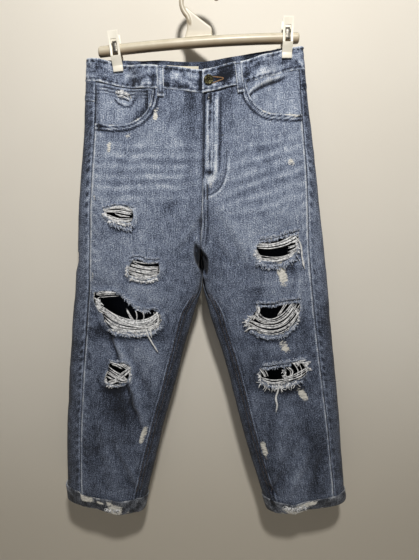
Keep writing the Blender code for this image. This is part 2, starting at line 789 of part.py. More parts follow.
def swept(name, section, half, finish):
    """A closed outline in Y and Z, given as pairs, swept half its width to each side in X."""
    build = bmesh.new()
    ring = [build.verts.new(Vector((-half, y, z)) * MM) for y, z in section]
    grown = bmesh.ops.extrude_face_region(build, geom=[build.faces.new(ring)])
    moved = [v for v in grown["geom"] if isinstance(v, bmesh.types.BMVert)]
    bmesh.ops.translate(build, verts=moved, vec=Vector((2 * half * MM, 0, 0)))
    bmesh.ops.recalc_face_normals(build, faces=build.faces)
    return add_object(name, build, finish, 40)


def jaw_section(face, height):
    """The side view of a jaw: straight down past the bar, then in to the cloth and down it."""
    clear = BAR_RADIUS + 1.0
    grip = GRIP_DEPTH + BAND_PROUD + 2.5 * SEAM_GAP
    section = (
        # depth from the bar's middle, distance below the top
        (clear + 1, 0), (clear + CLIP_WALL - 1, 0), (clear + CLIP_WALL, 2), (clear + CLIP_WALL, 42),
        (grip + CLIP_WALL, 58), (grip + CLIP_WALL, height), (grip, height), (grip, 56), (clear, 42),
    )
    return [(face * depth, -down) for depth, down in section]


def clip_spring_section():
    """A steel strip bent over the bar, whose ends turn out through the jaws' windows."""
    outside = (
        # depth past the bar's face, height from the top of the clip
        (3.2, -36.4), (1.4, -34.4), (1.4, -19.0), (-2.5, -16.0),
    )
    inside = (
        (-2.8, -16.9), (0.6, -19.4), (0.6, -34.8), (2.7, -37.2),
    )
    right = [(BAR_RADIUS + past, z) for past, z in outside]
    right_inside = [(BAR_RADIUS + past, z) for past, z in inside]
    left = [(-y, z) for y, z in right[::-1]]
    left_inside = [(-y, z) for y, z in right_inside[::-1]]
    return right + left + left_inside + right_inside


def clips():
    """Each clip is two jaws and a bent steel strip that presses them together."""
    jaws = (
        # name, face, height
        ("clip_front_", -1, CLIP_HEIGHT),
        ("clip_rear_", 1, CLIP_HEIGHT - 5),
    )
    for side, foot_x in CLIP_FEET.items():
        top = Vector((foot_x, 0, CLIP_TOPS[side])) * MM
        foot = top - Vector((0, 0, CLIP_HEIGHT * MM))
        lean = Matrix.Rotation(math.radians(CLIP_LEAN[side]), 4, "Y")
        place = Matrix.Translation(foot) @ lean @ Matrix.Translation(top - foot)
        for name, face, height in jaws:
            jaw = swept(name + side, jaw_section(face, height), CLIP_WIDTH / 2, PLASTIC)
            low, high = sorted((face * 6, face * 40))
            half, upper, lower = CLIP_WINDOW
            corners = ((-half, upper), (half, upper), (half, lower), (-half, lower))
            window = prism(name + side + "_window", corners, low, high)
            boolean(jaw, window, "DIFFERENCE")
            jaw.matrix_world = place
            window.matrix_world = place
        spring = swept("clip_spring_" + side, clip_spring_section(), 2.5, STEEL)
        spring.matrix_world = place


def main():
    front_panels()
    back_panels_and_yokes()
    pocket_facings()
    back_pockets()
    fly()
    waistband()
    belt_loops()
    inner_label()
    button_and_rivet()
    cuffs()
    hanger_frame()
    clips()


main()
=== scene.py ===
# %% [markdown]
# # Ripped jeans on a clip hanger
# A pair of washed denim jeans hangs by its waistband from two clips on a plastic trouser hanger. This
# script dresses the measured frame: every cut piece of denim becomes a fine sheet on the same form, with
# its creases, worn openings, seams and stitches, and the hanger, button and rivet get their real finish.
# Lengths are written in millimetres and turned into metres where a mesh is made. +Z is up, the front
# faces -Y, and the wearer's right is at -X.

import math

import bmesh
import bpy
import numpy as np
from mathutils import Matrix, Vector


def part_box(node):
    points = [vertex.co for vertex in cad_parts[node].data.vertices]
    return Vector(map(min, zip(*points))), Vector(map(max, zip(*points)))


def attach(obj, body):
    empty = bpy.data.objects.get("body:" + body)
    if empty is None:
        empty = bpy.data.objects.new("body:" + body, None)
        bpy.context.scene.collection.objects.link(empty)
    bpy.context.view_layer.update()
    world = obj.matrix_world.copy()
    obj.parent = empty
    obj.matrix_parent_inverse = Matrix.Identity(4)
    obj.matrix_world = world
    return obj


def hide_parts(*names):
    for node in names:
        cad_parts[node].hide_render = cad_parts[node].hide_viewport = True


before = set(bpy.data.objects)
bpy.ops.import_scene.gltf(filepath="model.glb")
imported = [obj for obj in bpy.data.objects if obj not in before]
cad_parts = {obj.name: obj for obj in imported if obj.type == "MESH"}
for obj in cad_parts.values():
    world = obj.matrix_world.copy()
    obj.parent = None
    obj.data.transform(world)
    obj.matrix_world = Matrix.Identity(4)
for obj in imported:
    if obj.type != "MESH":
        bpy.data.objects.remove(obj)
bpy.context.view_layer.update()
MM = 0.001

# %% [markdown]
# ## Stage, light and camera
# The jeans hang a few centimetres in front of a plain wall. One small soft lamp high in front gives the
# light that falls off towards the hems. A wide, dim lamp and a dim sky fill the shadows. The camera stands
# at the height of the hips and looks slightly down.

# %% Colours
def linear(hex_code):
    """An sRGB colour, written as in a paint program, as the linear values that Blender mixes."""
    values = [int(hex_code[i : i + 2], 16) / 255 for i in (1, 3, 5)]
    return tuple(v / 12.92 if v <= 0.04045 else ((v + 0.055) / 1.055) ** 2.4 for v in values) + (1.0,)


def add_node(tree, kind, inputs=None, stops=None, **settings):
    """Adds one node, with its settings, its plain values, its links and the stops of its ramp."""
    made = tree.nodes.new(kind)
    for name, value in settings.items():
        setattr(made, name, value)
    for socket, value in (inputs or {}).items():
        if isinstance(value, bpy.types.NodeSocket):
            tree.links.new(value, made.inputs[socket])
        else:
            made.inputs[socket].default_value = value
    if stops:
        ramp = made.color_ramp
        while len(ramp.elements) < len(stops):
            ramp.elements.new(1.0)
        for element, (place, colour) in zip(ramp.elements, stops):
            element.position = place
            element.color = linear(colour)
    return made


def noise(tree, place, size, detail, roughness=0.5):
    """Soft random values in patches this many millimetres across, or of this width and length."""
    scale = 1.0
    if isinstance(size, tuple):
        scales = (1000 / size[0], 1000 / size[1], 1.0)
        place = add_node(tree, "ShaderNodeMapping", {"Vector": place, "Scale": scales}).outputs["Vector"]
    else:
        scale = 1000 / size
    return add_node(tree, "ShaderNodeTexNoise", {
        "Vector": place, "Scale": scale, "Detail": detail, "Roughness": roughness,
    }).outputs["Fac"]


def toned(tree, value, stops):
    return add_node(tree, "ShaderNodeValToRGB", {"Fac": value}, stops=stops).outputs["Color"]


def share_between(tree, value, low, high, **settings):
    """How far a value has come from low, 0, to high, 1."""
    return add_node(tree, "ShaderNodeMapRange", {
        "Value": value, "From Min": low, "From Max": high,
    }, **settings).outputs["Result"]


def mixed(tree, share, first, second):
    return add_node(tree, "ShaderNodeMix", {0: share, 6: first, 7: second}, data_type="RGBA").outputs[2]


def weighted(tree, value, factor, added):
    return add_node(tree, "ShaderNodeMath", {
        0: value, 1: factor, 2: added,
    }, operation="MULTIPLY_ADD").outputs["Value"]


def object_place(tree):
    return add_node(tree, "ShaderNodeTexCoord").outputs["Object"]


def new_material(name, roughness, metallic=0.0, **shader_values):
    """A material with one Principled shader, whose constant values sit on its own sockets."""
    made = bpy.data.materials.new(name)
    made.use_nodes = True
    shader = made.node_tree.nodes["Principled BSDF"]
    shader.inputs["Roughness"].default_value = roughness
    shader.inputs["Metallic"].default_value = metallic
    for socket, value in shader_values.items():
        shader.inputs[socket.replace("_", " ")].default_value = value
    return made, made.node_tree, shader


def dress(tree, shader, colour, height=None, strength=0.0, depth_mm=0.0):
    """Gives the shader its colour and, from a height, its fine bump."""
    tree.links.new(colour, shader.inputs["Base Color"])
    if height:
        bump = add_node(tree, "ShaderNodeBump", {
            "Height": height, "Strength": strength, "Distance": depth_mm * MM,
        })
        tree.links.new(bump.outputs["Normal"], shader.inputs["Normal"])


# %% Stage
# The wall turns darker towards the floor: painted shade for the lamp's fall-off.
SHADED_FOOT_SPAN = (-1.62, -1.02)  # m below the middle of the wall: its paint is duller towards its foot


def matte_paint(name, colours, mottle_mm, foot=None):
    """Flat paint: matte, with a faint cloudiness where the roller overlapped and, given a foot colour,
    painted shade that darkens towards the foot.
    """
    made, tree, shader = new_material(name, 0.95)
    place = object_place(tree)
    colour = toned(tree, noise(tree, place, mottle_mm, 3.0), [(0.3, colours[0]), (0.7, colours[1])])
    if foot:
        up = add_node(tree, "ShaderNodeSeparateXYZ", {"Vector": place}).outputs["Y"]
        above_shaded_foot = share_between(tree, up, *SHADED_FOOT_SPAN, interpolation_type="SMOOTHSTEP")
        colour = mixed(tree, above_shaded_foot, linear(foot), colour)
    dress(tree, shader, colour)
    return made


STAGE_SIZE = 6


def plane(name, place, turn, paint):
    bpy.ops.object.select_all(action="DESELECT")
    bpy.ops.mesh.primitive_plane_add(size=STAGE_SIZE, location=place, rotation=(turn, 0, 0))
    made = bpy.context.object
    made.name = name
    made.data.materials.append(paint)
    return made


WALL_Y = 0.062
WALL_MIDDLE_Z = 0.4
FLOOR_Z = -1.42
# The wall's foot colour is painted shade, darker towards the floor.
wall_paint = matte_paint("painted_wall", ("#E6E0D5", "#EAE5DB"), 400, foot="#CFC8BB")
wall = plane("wall", (0, WALL_Y, WALL_MIDDLE_Z), math.radians(90), wall_paint)
floor_paint = matte_paint("painted_floor", ("#CFCAC0", "#D4CFC6"), 300)
floor = plane("floor", (0, WALL_Y - STAGE_SIZE / 2, FLOOR_Z), 0, floor_paint)

# %% Light
def soft_lamp(name, place, aim, size, power, colour):
    """A rectangular lamp of this width and height in metres, turned towards its aim."""
    data = bpy.data.lights.new(name, "AREA")
    data.shape = "RECTANGLE"
    data.size, data.size_y = size
    data.energy = power
    data.color = linear(colour)[:3]
    lamp = bpy.data.objects.new(name, data)
    bpy.context.collection.objects.link(lamp)
    lamp.location = place
    lamp.rotation_euler = (Vector(aim) - Vector(place)).to_track_quat("-Z", "Y").to_euler()
    return lamp


soft_lamp("key", (0.13, -1.10, 0.62), (0.0, 0.0, -0.33), (0.15, 0.12), 21.8, "#FFFCF6")
soft_lamp("fill", (-0.5, -1.9, 0.0), (0.0, 0.0, -0.15), (1.4, 1.2), 1.9, "#F8F9FF")
world = bpy.data.worlds.new("room")
world.use_nodes = True
world.node_tree.nodes["Background"].inputs["Color"].default_value = linear("#F4F4F4")
world.node_tree.nodes["Background"].inputs["Strength"].default_value = 0.055
scene = bpy.context.scene
scene.world = world
scene.view_settings.view_transform = "Standard"

# %% Camera
CAMERA_PLACE = (0.020, -0.843, -0.386)
CAMERA_PITCH = 10.3  # degrees below level
CAMERA_LENS = 27.2
view = bpy.data.cameras.new("camera")
view.lens = CAMERA_LENS
view.clip_start = 0.01
camera = bpy.data.objects.new("camera", view)
bpy.context.collection.objects.link(camera)
camera.location = CAMERA_PLACE
camera.rotation_euler = (math.radians(90 - CAMERA_PITCH), 0, 0)
scene.camera = camera

# %% [markdown]
# ## The form under the cloth
# Hanging jeans keep the shape of the body's two tubes, nearly flat, drawn together where the clips grip.
# Short tables give the outline of each leg at a few heights. A smooth curve through them gives it at every
# height, and a point on a panel is then found from how far it is across (0 at the inner seam, 1 at the
# side seam) and how high. All cloth pieces are made on this one form, so that they meet at their seams.

# %% Sizes of the form
SEAM_GAP = 0.3
CENTRE_CLEAR = 0.6
BAND_HEIGHT = 40.0
FORK_Z = -548.0
HEM_Z = -1043.0
ROW_TOP_Z = -186.0
TOP_SHAPE_FADES = 190.0
ROUND_POWER = 2.5
INSEAM_INSET = 13.0
CLIP_FEET = (-148.0, 162.0)
CLIP_FLAT = 12.5
GRIP_DEPTH = 2.6
SIDE = {"right": -1, "left": 1}
LEGS = {
    # z, outer side, side seam, inner side
    "right": np.array((
        (-110, -205, -187, 6), (-180, -212, -190, 6), (-250, -218, -195, 6), (-320, -226, -202, 6),
        (-400, -236, -209, 6), (-470, -242, -213, 6), (-548, -251, -218, 6), (-620, -260, -226, -15),
        (-700, -270, -235, -36), (-780, -278, -243, -57), (-860, -286, -251, -79), (-940, -291, -256, -99),
        (-1000, -293, -258, -113), (-1060, -290, -256, -126),
    ), float),
    "left": np.array((
        (-110, 193, 182, 6), (-180, 202, 189, 6), (-250, 214, 196, 6), (-320, 224, 204, 6),
        (-400, 236, 209, 6), (-470, 247, 213, 6), (-548, 258, 222, 6), (-620, 268, 232, 24),
        (-700, 279, 244, 49), (-780, 290, 257, 70), (-860, 300, 270, 90), (-940, 310, 281, 112),
        (-1000, 317, 289, 131), (-1060, 323, 295, 150),
    ), float),
}
BODY = np.array((
    # z, front and back depth, how far each half runs past the centre, centre line, pinch of the clips
    (-110, 20, 18, 140, 140, 9, 1.0), (-150, 22, 21, 140, 140, 9, 1.0), (-185, 24, 25, 138, 138, 9, 0.66),
    (-250, 28, 31, 125, 128, 8, 0.30), (-330, 31, 36, 95, 110, 8, 0.10), (-400, 33, 38, 66, 92, 6, 0.0),
    (-465, 33, 37, 34, 66, 3, 0.0), (-510, 33, 35, 11, 34, 4, 0.0), (-548, 32, 33, 0, 0, 6, 0.0),
    (-620, 31, 32, 0, 0, 6, 0.0), (-780, 30, 30, 0, 0, 6, 0.0), (-940, 28, 28, 0, 0, 6, 0.0),
    (-1060, 28, 28, 0, 0, 6, 0.0),
), float)
WAIST_TOP = np.array((
    # x, front, back: the front sags between the clips
    (-207, -124, -124), (-176, -127, -125), (-148, -134, -125), (-77, -140, -121), (-36, -143, -123),
    (6, -148, -123), (63, -136, -115), (86, -132, -112), (120, -121, -107), (150, -113, -105),
    (172, -106, -104), (193, -103, -103),
), float)
YOKE = np.array(((-207, 74), (-100, 92), (6, 112), (100, 92), (193, 74)), float)
TILT = np.array(((-200, 0.0), (-400, 0.02), (-548, 0.05), (-780, 0.12), (-1043, 0.15)), float)
FOLDS = (
    # face, x, z, half_length, half_width, depth, lean: the largest folds
    (-1, -188, -672, 70, 16, 4.0, 0.10), (-1, -118, -790, 95, 26, 3.0, -0.12),
    (-1, -40, -300, 90, 30, 2.0, 0.25), (-1, 92, -330, 110, 26, 2.5, -0.30),
    (-1, 205, -700, 120, 22, 3.0, -0.08), (-1, 132, -880, 110, 24, 3.0, -0.16),
    (1, -120, -470, 110, 34, 4.0, 0.35), (1, 128, -480, 110, 34, 4.0, -0.35),
    (1, -170, -700, 120, 24, 4.0, -0.10), (1, 175, -740, 130, 24, 4.0, 0.10),
)


# %% Reading the tables
def along(table, column, at):
    """Reads one column of a table at a place, on a smooth curve through its rows."""
    table = table[np.argsort(table[:, 0])]
    places, values = table[:, 0], table[:, column]
    slopes = np.gradient(values, places)
    at = np.clip(at, places[0], places[-1])
    i = np.clip(np.searchsorted(places, at) - 1, 0, len(places) - 2)
    span = places[i + 1] - places[i]
    t = (at - places[i]) / span
    return (
        (2 * t**3 - 3 * t**2 + 1) * values[i] + (t**3 - 2 * t**2 + t) * span * slopes[i]
        + (3 * t**2 - 2 * t**3) * values[i + 1] + (t**3 - t**2) * span * slopes[i + 1]
    )


def straight(table, column, at):
    table = table[np.argsort(table[:, 0])]
    return np.interp(at, table[:, 0], table[:, column])


def ease(t):
    t = np.clip(t, 0.0, 1.0)
    return t * t * (3 - 2 * t)


# %% One leg's outline at one height
def outline(leg, z):
    """Points round a leg, the length along them, and where its side seam and inseam lie."""
    side = SIDE[leg]
    outer = along(LEGS[leg], 1, z)
    inner = along(LEGS[leg], 3, min(z, FORK_Z)) + side * CENTRE_CLEAR
    centre = straight(BODY, 5, z) + side * CENTRE_CLEAR
    turn = np.linspace(0, math.pi, 120)
    across = np.sign(np.cos(turn)) * np.abs(np.cos(turn)) ** (2 / ROUND_POWER)
    deep = np.sin(turn).clip(0, 1) ** (2 / ROUND_POWER)
    halves = []
    for face, depth_column, past_column in ((-1, 1, 3), (1, 2, 4)):
        far = inner if z <= FORK_Z else centre - side * straight(BODY, past_column, z)
        x = (outer + far) / 2 + (outer - far) / 2 * across
        y = face * straight(BODY, depth_column, z) * deep
        pinch_width = 18 + 0.3 * max(0.0, -150 - z)
        for foot in CLIP_FEET:
            reach = np.maximum(0, np.abs(x - foot) - CLIP_FLAT) / pinch_width
            near = straight(BODY, 6, z) * np.exp(-(reach**2))
            y = y * (1 - near) + np.sign(y) * GRIP_DEPTH * near * np.minimum(1, 3 * deep)
        for fold_face, fx, fz, half_length, half_width, depth, lean in FOLDS:
            if fold_face == face:
                beside = (x - fx - lean * (z - fz)) / half_width
                y = y - face * deep * depth * np.exp(-(beside**2) - ((z - fz) / half_length) ** 2)
        if z > FORK_Z:
            kept = side * (x - centre) > 0
            end_y = np.interp(side * centre, side * x[::-1], y[::-1])
            x = np.append(x[kept], centre)
            y = np.append(y[kept], end_y)
        halves.append(np.column_stack([x, y]))
    front = halves[0][::-1]
    points = np.vstack([front, halves[1][1:]])
    length = np.append(0, np.cumsum(np.hypot(*np.diff(points, axis=0).T)))
    front_length = length[: len(front)]
    side_seam = np.interp(side * along(LEGS[leg], 2, z), side * front[:, 0], front_length)
    start = inner if z <= FORK_Z else centre
    inseam_x = side * start + INSEAM_INSET * ease((FORK_Z - z) / 60)
    inseam = np.interp(inseam_x, side * front[:, 0], front_length)
    return points, length, side_seam, inseam


# %% The form at every height
LEVEL_STEP = 3.0
LEVELS = np.arange(-96.0, -1075.0, -LEVEL_STEP)
ACROSS = np.linspace(0, 1, 181)


def form_table(leg, face):
    """Place, outward direction and width of a panel on a fine net of heights and places across."""
    places = np.zeros((len(LEVELS), len(ACROSS), 2))
    outward = np.zeros_like(places)
    widths = np.zeros(len(LEVELS))
    for i, z in enumerate(LEVELS):
        points, length, side_seam, inseam = outline(leg, z)
        start, end = (inseam, side_seam) if face == -1 else (length[-1] + inseam, side_seam)
        clear = math.copysign(SEAM_GAP / 2, end - start)
        where = start + clear + (end - start - 2 * clear) * ACROSS
        where = np.where(where > length[-1], where - length[-1], where) if z <= FORK_Z else where
        places[i, :, 0] = np.interp(where, length, points[:, 0])
        places[i, :, 1] = np.interp(where, length, points[:, 1])
        run = np.gradient(places[i], axis=0) * np.sign(end - start)
        normal = np.column_stack([run[:, 1], -run[:, 0]]) * SIDE[leg]
        outward[i] = normal / np.maximum(1e-9, np.linalg.norm(normal, axis=1, keepdims=True))
        widths[i] = abs(end - start)
    return places, outward, widths


FORM = {(leg, face): form_table(leg, face) for leg in SIDE for face in (-1, 1)}


def on_form(leg, face, u, z, out=0.0):
    """Points of the form for arrays of u and z, held this far off it."""
    places, outward, _ = FORM[leg, face]
    row = np.clip((LEVELS[0] - z) / LEVEL_STEP, 0, len(LEVELS) - 1.001)
    column = np.clip(np.asarray(u, float), 0, 1) * (len(ACROSS) - 1)
    column = np.minimum(column, len(ACROSS) - 1.001)
    i, j = row.astype(int), column.astype(int)
    a, b = (row - i)[..., None], (column - j)[..., None]
    found = []
    for net in (places, outward):
        upper = net[i, j] * (1 - b) + net[i, j + 1] * b
        lower = net[i + 1, j] * (1 - b) + net[i + 1, j + 1] * b
        found.append(upper * (1 - a) + lower * a)
    place = found[0] + found[1] * np.asarray(out)[..., None]
    return np.concatenate([place, np.broadcast_to(z, u.shape)[..., None]], axis=-1)


def panel_width(leg, face, z):
    return np.interp(z, LEVELS[::-1], FORM[leg, face][2][::-1])


def waist_line(x, face, drop):
    return along(WAIST_TOP, 1 if face == -1 else 2, x) - drop


def row_height(leg, x, y, z):
    """Bends a level row to follow the waist at the top and the splay of the legs further down."""
    fade = ease(1 - (ROW_TOP_Z - z) / TOP_SHAPE_FADES)
    front = waist_line(x, -1, BAND_HEIGHT) - ROW_TOP_Z
    back = waist_line(x, 1, BAND_HEIGHT) - ROW_TOP_Z
    share = 0.5 - 0.5 * np.clip(y / 12, -1, 1)
    middle = (along(LEGS[leg], 1, z) + along(LEGS[leg], 3, np.minimum(z, FORK_Z))) / 2
    tilt = straight(TILT, 1, z) * SIDE[leg] * (x - middle)
    return z + fade * (front * share + back * (1 - share)) + tilt


print("the form at the knee is", round(panel_width("left", -1, -780.0)), "mm across the front panel")

# %% [markdown]
# ## Washed denim
# Denim is a twill of indigo warp threads over white weft threads. Stone washing takes the blue off
# whatever stands out, so seams and ridges turn pale, hollows stay dark, and the face looks speckled.
# The mesh carries how worn each place is, with painted shade in folds, hollows and under the openings, in an
# attribute that is worked out as the cloth is shaped. The material turns it into blue, and adds the speckle,
# the slubs of the warp and the diagonal of the twill.

# %% Denim materials
TWILL_PITCH = 1.6  # mm between twill ribs: real ones are 0.9 apart, drawn coarser so that they show
SPECKLE = 2.2  # mm: the salt-and-pepper grain that washing leaves
CLOUD = 14.0  # mm: broad soft changes of tone
WEAR_CONTRAST = 1.6
SLUB = (1.7, 26.0)  # mm wide and long: uneven warp threads
WEFT_STREAK = (9.0, 1.9)  # mm wide and high: bared weft shows as short rows
BARING = (1.13, 1.38)  # how much baring, with its noise, starts and ends the change to white weft


def denim_material(name, stops, speckle, twill_depth):
    """Blue cotton twill: colour from its worn tone and painted shade, speckle and slubs, and a fine diagonal
    bump.
    """
    made, tree, shader = new_material(
        name, 0.92, Sheen_Weight=0.12, Sheen_Roughness=0.6, Specular_IOR_Level=0.15,
    )
    place = add_node(tree, "ShaderNodeUVMap", uv_map="UVMap").outputs["UV"]
    # The first layer holds how worn each place is, together with its painted shade.
    worn, bared = (
        add_node(tree, "ShaderNodeAttribute", attribute_name=layer).outputs["Fac"] for layer in ("wear",
                                                                                                 "bared")
    )
    grain = noise(tree, place, SPECKLE, 2.0, 0.7)
    slubs = noise(tree, place, SLUB, 2.0)
    cloud = noise(tree, place, CLOUD, 3.0, 0.6)
    level = weighted(tree, worn, WEAR_CONTRAST, 0.5 * (1 - WEAR_CONTRAST))
    for texture, amount in ((grain, speckle), (slubs, speckle * 0.34), (cloud, speckle * 0.20)):
        centred = add_node(tree, "ShaderNodeMath", {0: texture, 1: -0.5}, operation="ADD").outputs["Value"]
        level = weighted(tree, centred, amount, level)
    weft = noise(tree, place, WEFT_STREAK, 2.0, 0.6)
    broken_edge = weighted(tree, weft, 1.0, weighted(tree, grain, 0.5, bared))
    bare = share_between(tree, broken_edge, *BARING)
    cotton = toned(tree, weft, [(0.34, "#A5A39D"), (0.54, "#E4E2DB")])
    diagonal = add_node(tree, "ShaderNodeTexWave", {
        "Vector": place, "Scale": 1000 / TWILL_PITCH / 20 * math.pi * 1.4, "Distortion": 0.6,
        "Detail": 1.0, "Detail Scale": 2.0,
    }, wave_type="BANDS", bands_direction="DIAGONAL", wave_profile="SIN").outputs["Fac"]
    height = weighted(tree, grain, 0.8, diagonal)
    dress(tree, shader, mixed(tree, bare, toned(tree, level, stops), cotton), height, 0.5, twill_depth)
    return made


DENIM = denim_material("washed_denim_twill", [
    (0.0, "#141924"), (0.25, "#40485A"), (0.5, "#727D94"), (0.75, "#A2ADC0"), (1.0, "#D8DDE4"),
], 1.8, 0.5)
# The wrong side is painted nearly black blue: painted shade for the inside of the legs, seen through the worn
# openings.
SHADED_DENIM_INSIDE = denim_material("denim_wrong_side", [(0.0, "#161A22"), (0.5, "#333945"), (1.0, "#525A66")], 0.4,
                              0.4)
TURNED = denim_material("denim_turned_wrong_side", [
    (0.0, "#17191E"), (0.25, "#454952"), (0.5, "#797E88"), (0.75, "#AAAEB5"), (1.0, "#DCDBD7"),
], 1.3, 0.5)
RAW_EDGE = denim_material("denim_cut_edge", [(0.0, "#3A4456"), (0.5, "#8C95A3"), (1.0, "#C9CDD2")], 0.8, 0.5)

# %% Threads, tape and metal
def mottled_material(name, size, stops, detail, bump, roughness, metallic=0.0, **shader_values):
    """A material whose tone and bump follow one soft noise; bump is its strength and its depth in mm."""
    made, tree, shader = new_material(name, roughness, metallic, **shader_values)
    mottle = noise(tree, object_place(tree), size, detail, 0.7)
    dress(tree, shader, toned(tree, mottle, stops), mottle, *bump)
    return made


def fibre_material(name, size, *stops):
    """Spun cotton: matte, with soft changes of tone along the thread."""
    return mottled_material(name, size, stops, 3.0, (0.4, 0.3), 0.95, Sheen_Weight=0.15, Sheen_Roughness=0.7)


WEFT_THREAD = fibre_material("bleached_cotton_weft", 5.0, (0.32, "#56585E"), (0.45, "#C2C4C8"),
                             (0.58, "#FAFBFD"))
BLUE_FRAY = fibre_material("frayed_indigo_warp", 3.0, (0.34, "#39435A"), (0.48, "#8794AD"), (0.62, "#D3D8E1"))
LOOSE_THREAD = fibre_material("bleached_cotton_end", 6.0, (0.30, "#A9ACB0"), (0.60, "#FAFBFC"))
TOPSTITCH = fibre_material("faded_blue_topstitch", 3.0, (0.3, "#454D5C"), (0.7, "#7F8894"))
DARK_STITCH = fibre_material("dark_bar_tack", 2.0, (0.3, "#232730"), (0.7, "#3F4654"))
INSEAM_THREAD = fibre_material("brown_inseam_thread", 3.0, (0.3, "#4A3E3D"), (0.7, "#8A7B77"))
TAPE = fibre_material("woven_cotton_tape", 1.2, (0.3, "#CFC8B6"), (0.7, "#E4DECF"))
AGED_AND_SHADED_TONES = (
    # what decides where it lies, from and to, colour
    ("height", -0.080, -0.074, "#BFB7A5"),  # the thin fin lets light through
    # A thin dark olive line is painted along the upper side.
    ("upward", 0.72, 0.86, "#7D7858"),  # dust along the upper side
    # Painted shade: the underside turns darker brown, where the light from above does not reach.
    ("upward", 0.10, -0.75, "#A08C72"),  # yellowed below
)
SKIN = 1.4  # mm: the orange peel that a mould leaves


def plastic_material(name, colours, speck_mm, aged_and_shaded=False):
    """Injection-moulded polypropylene: smooth, slightly milky, with a fine orange-peel skin."""
    made, tree, shader = new_material(name, 0.38, IOR=1.49, Coat_Weight=0.1, Coat_Roughness=0.3)
    place = object_place(tree)
    cloud = noise(tree, place, speck_mm, 3.0, 0.6)
    colour = toned(tree, cloud, [(0.3, colours[0]), (0.6, colours[1])])
    # Tones by height and by the surface's direction: the fin's own tone, a dark line on top and painted shade
    # below.
    if aged_and_shaded:
        normal = add_node(tree, "ShaderNodeNewGeometry").outputs["Normal"]
        rises = {
            name: add_node(tree, "ShaderNodeSeparateXYZ", {"Vector": vector}).outputs["Z"]
            for name, vector in (("upward", normal), ("height", place))
        }
        for rise, low, high, tone in AGED_AND_SHADED_TONES:
            colour = mixed(tree, share_between(tree, rises[rise], low, high), colour, linear(tone))
    dress(tree, shader, colour, noise(tree, place, SKIN, 1.0), 0.15, 0.1)
    return made


IVORY = plastic_material("moulded_ivory_polypropylene", ("#E9E3D3", "#F1ECDF"), 30.0)
OLD_IVORY = plastic_material("yellowed_ivory_polypropylene", ("#C6BCA6", "#D5CCB8"), 24.0, aged_and_shaded=True)


def metal_material(name, size, roughness, *stops):
    """Metal with a worn face: dark tarnish in the hollows, brighter where it is rubbed."""
    return mottled_material(name, size, stops, 4.0, (0.3, 0.2), roughness, 1.0)


BRASS = metal_material("tarnished_brass", 2.6, 0.5, (0.32, "#10100B"), (0.54, "#343123"), (0.70, "#8C8762"))
STEEL = metal_material("zinc_plated_spring_steel", 3.0, 0.40, (0.3, "#3E3C39"), (0.7, "#7E7B74"))

# %% [markdown]
# ## Making cloth
# A sheet of cloth starts as a flat grid, as wide and long as the real cut. Its points are moved onto the
# form, worn places are cut out of it, and Solidify gives it the thickness of denim, with its own inner
# side and its own cut edge. The grid keeps the flat cut in its UV map, so the weave follows the cloth.

# %% Soft random relief
def soft_noise(x, z, size, seed):
    """Smooth noise from -1 to 1 over a plane, with bumps of this size in millimetres."""
    table = np.random.default_rng(seed).uniform(-1, 1, (97, 97))
    a, b = np.asarray(x, float) / size + 31.3, np.asarray(z, float) / size + 17.7
    i, j = np.floor(a).astype(int), np.floor(b).astype(int)
    p, q = ease(a - i), ease(b - j)
    i0, i1, j0, j1 = i % 97, (i + 1) % 97, j % 97, (j + 1) % 97
    upper = table[i0, j0] * (1 - p) + table[i1, j0] * p
    lower = table[i0, j1] * (1 - p) + table[i1, j1] * p
    return upper * (1 - q) + lower * q


def line_noise(run, size, seed, row=0):
    """Smooth noise along a line."""
    return soft_noise(run, run * 0 + row, size, seed)


def bell(distance, width):
    return np.exp(-((distance / width) ** 2))


def stripes(base, distance, *rows):
    """Adds soft stripes to base. Each row is an amount, its place along the distance and its half-width."""
    for amount, place, width in rows:
        base = base + amount * bell(distance - place, width)
    return base


def spot(beside, above, power=2):
    """1 in the middle of a patch and 0 outside it; a higher power gives it a clearer edge."""
    return np.exp(-(np.abs(beside) ** power) - np.abs(above) ** power)


# %% Distance to an outline
def to_outline(points, corners):
    """For each point: whether it is inside a closed outline, how far from it, and the nearest place on it."""
    corners = np.asarray(corners, float)
    starts, ends = corners, np.roll(corners, -1, axis=0)
    run = ends - starts
    size = np.maximum(1e-9, (run**2).sum(1))
    offset = points[:, None, :] - starts[None]
    t = np.clip((offset * run[None]).sum(2) / size, 0, 1)
    nearest = starts[None] + t[..., None] * run[None]
    gap = np.linalg.norm(points[:, None, :] - nearest, axis=2)
    best = gap.argmin(1)
    crosses = (starts[None, :, 1] > points[:, None, 1]) != (ends[None, :, 1] > points[:, None, 1])
    rise = np.where(np.abs(run[:, 1]) < 1e-9, 1e-9, run[:, 1])
    meets = starts[None, :, 0] + (points[:, None, 1] - starts[None, :, 1]) * run[None, :, 0] / rise[None]
    inside = ((points[:, None, 0] < meets) & crosses).sum(1) % 2 == 1
    rows = np.arange(len(points))
    return inside, gap[rows, best], nearest[rows, best]


def to_line(points, line):
    """For each point: how far it is from an open line, and how far along it the nearest place lies."""
    line = np.asarray(line, float)
    starts, run = line[:-1], np.diff(line, axis=0)
    size = np.maximum(1e-9, (run**2).sum(1))
    length = np.append(0, np.cumsum(np.sqrt(size)))
    offset = points[:, None, :] - starts[None]
    t = np.clip((offset * run[None]).sum(2) / size, 0, 1)
    gap = np.linalg.norm(offset - t[..., None] * run[None], axis=2)
    best = gap.argmin(1)
    rows = np.arange(len(points))
    side = run[best, 0] * offset[rows, best, 1] - run[best, 1] * offset[rows, best, 0]
    return gap[rows, best] * np.sign(side), length[best] + t[rows, best] * np.sqrt(size[best])


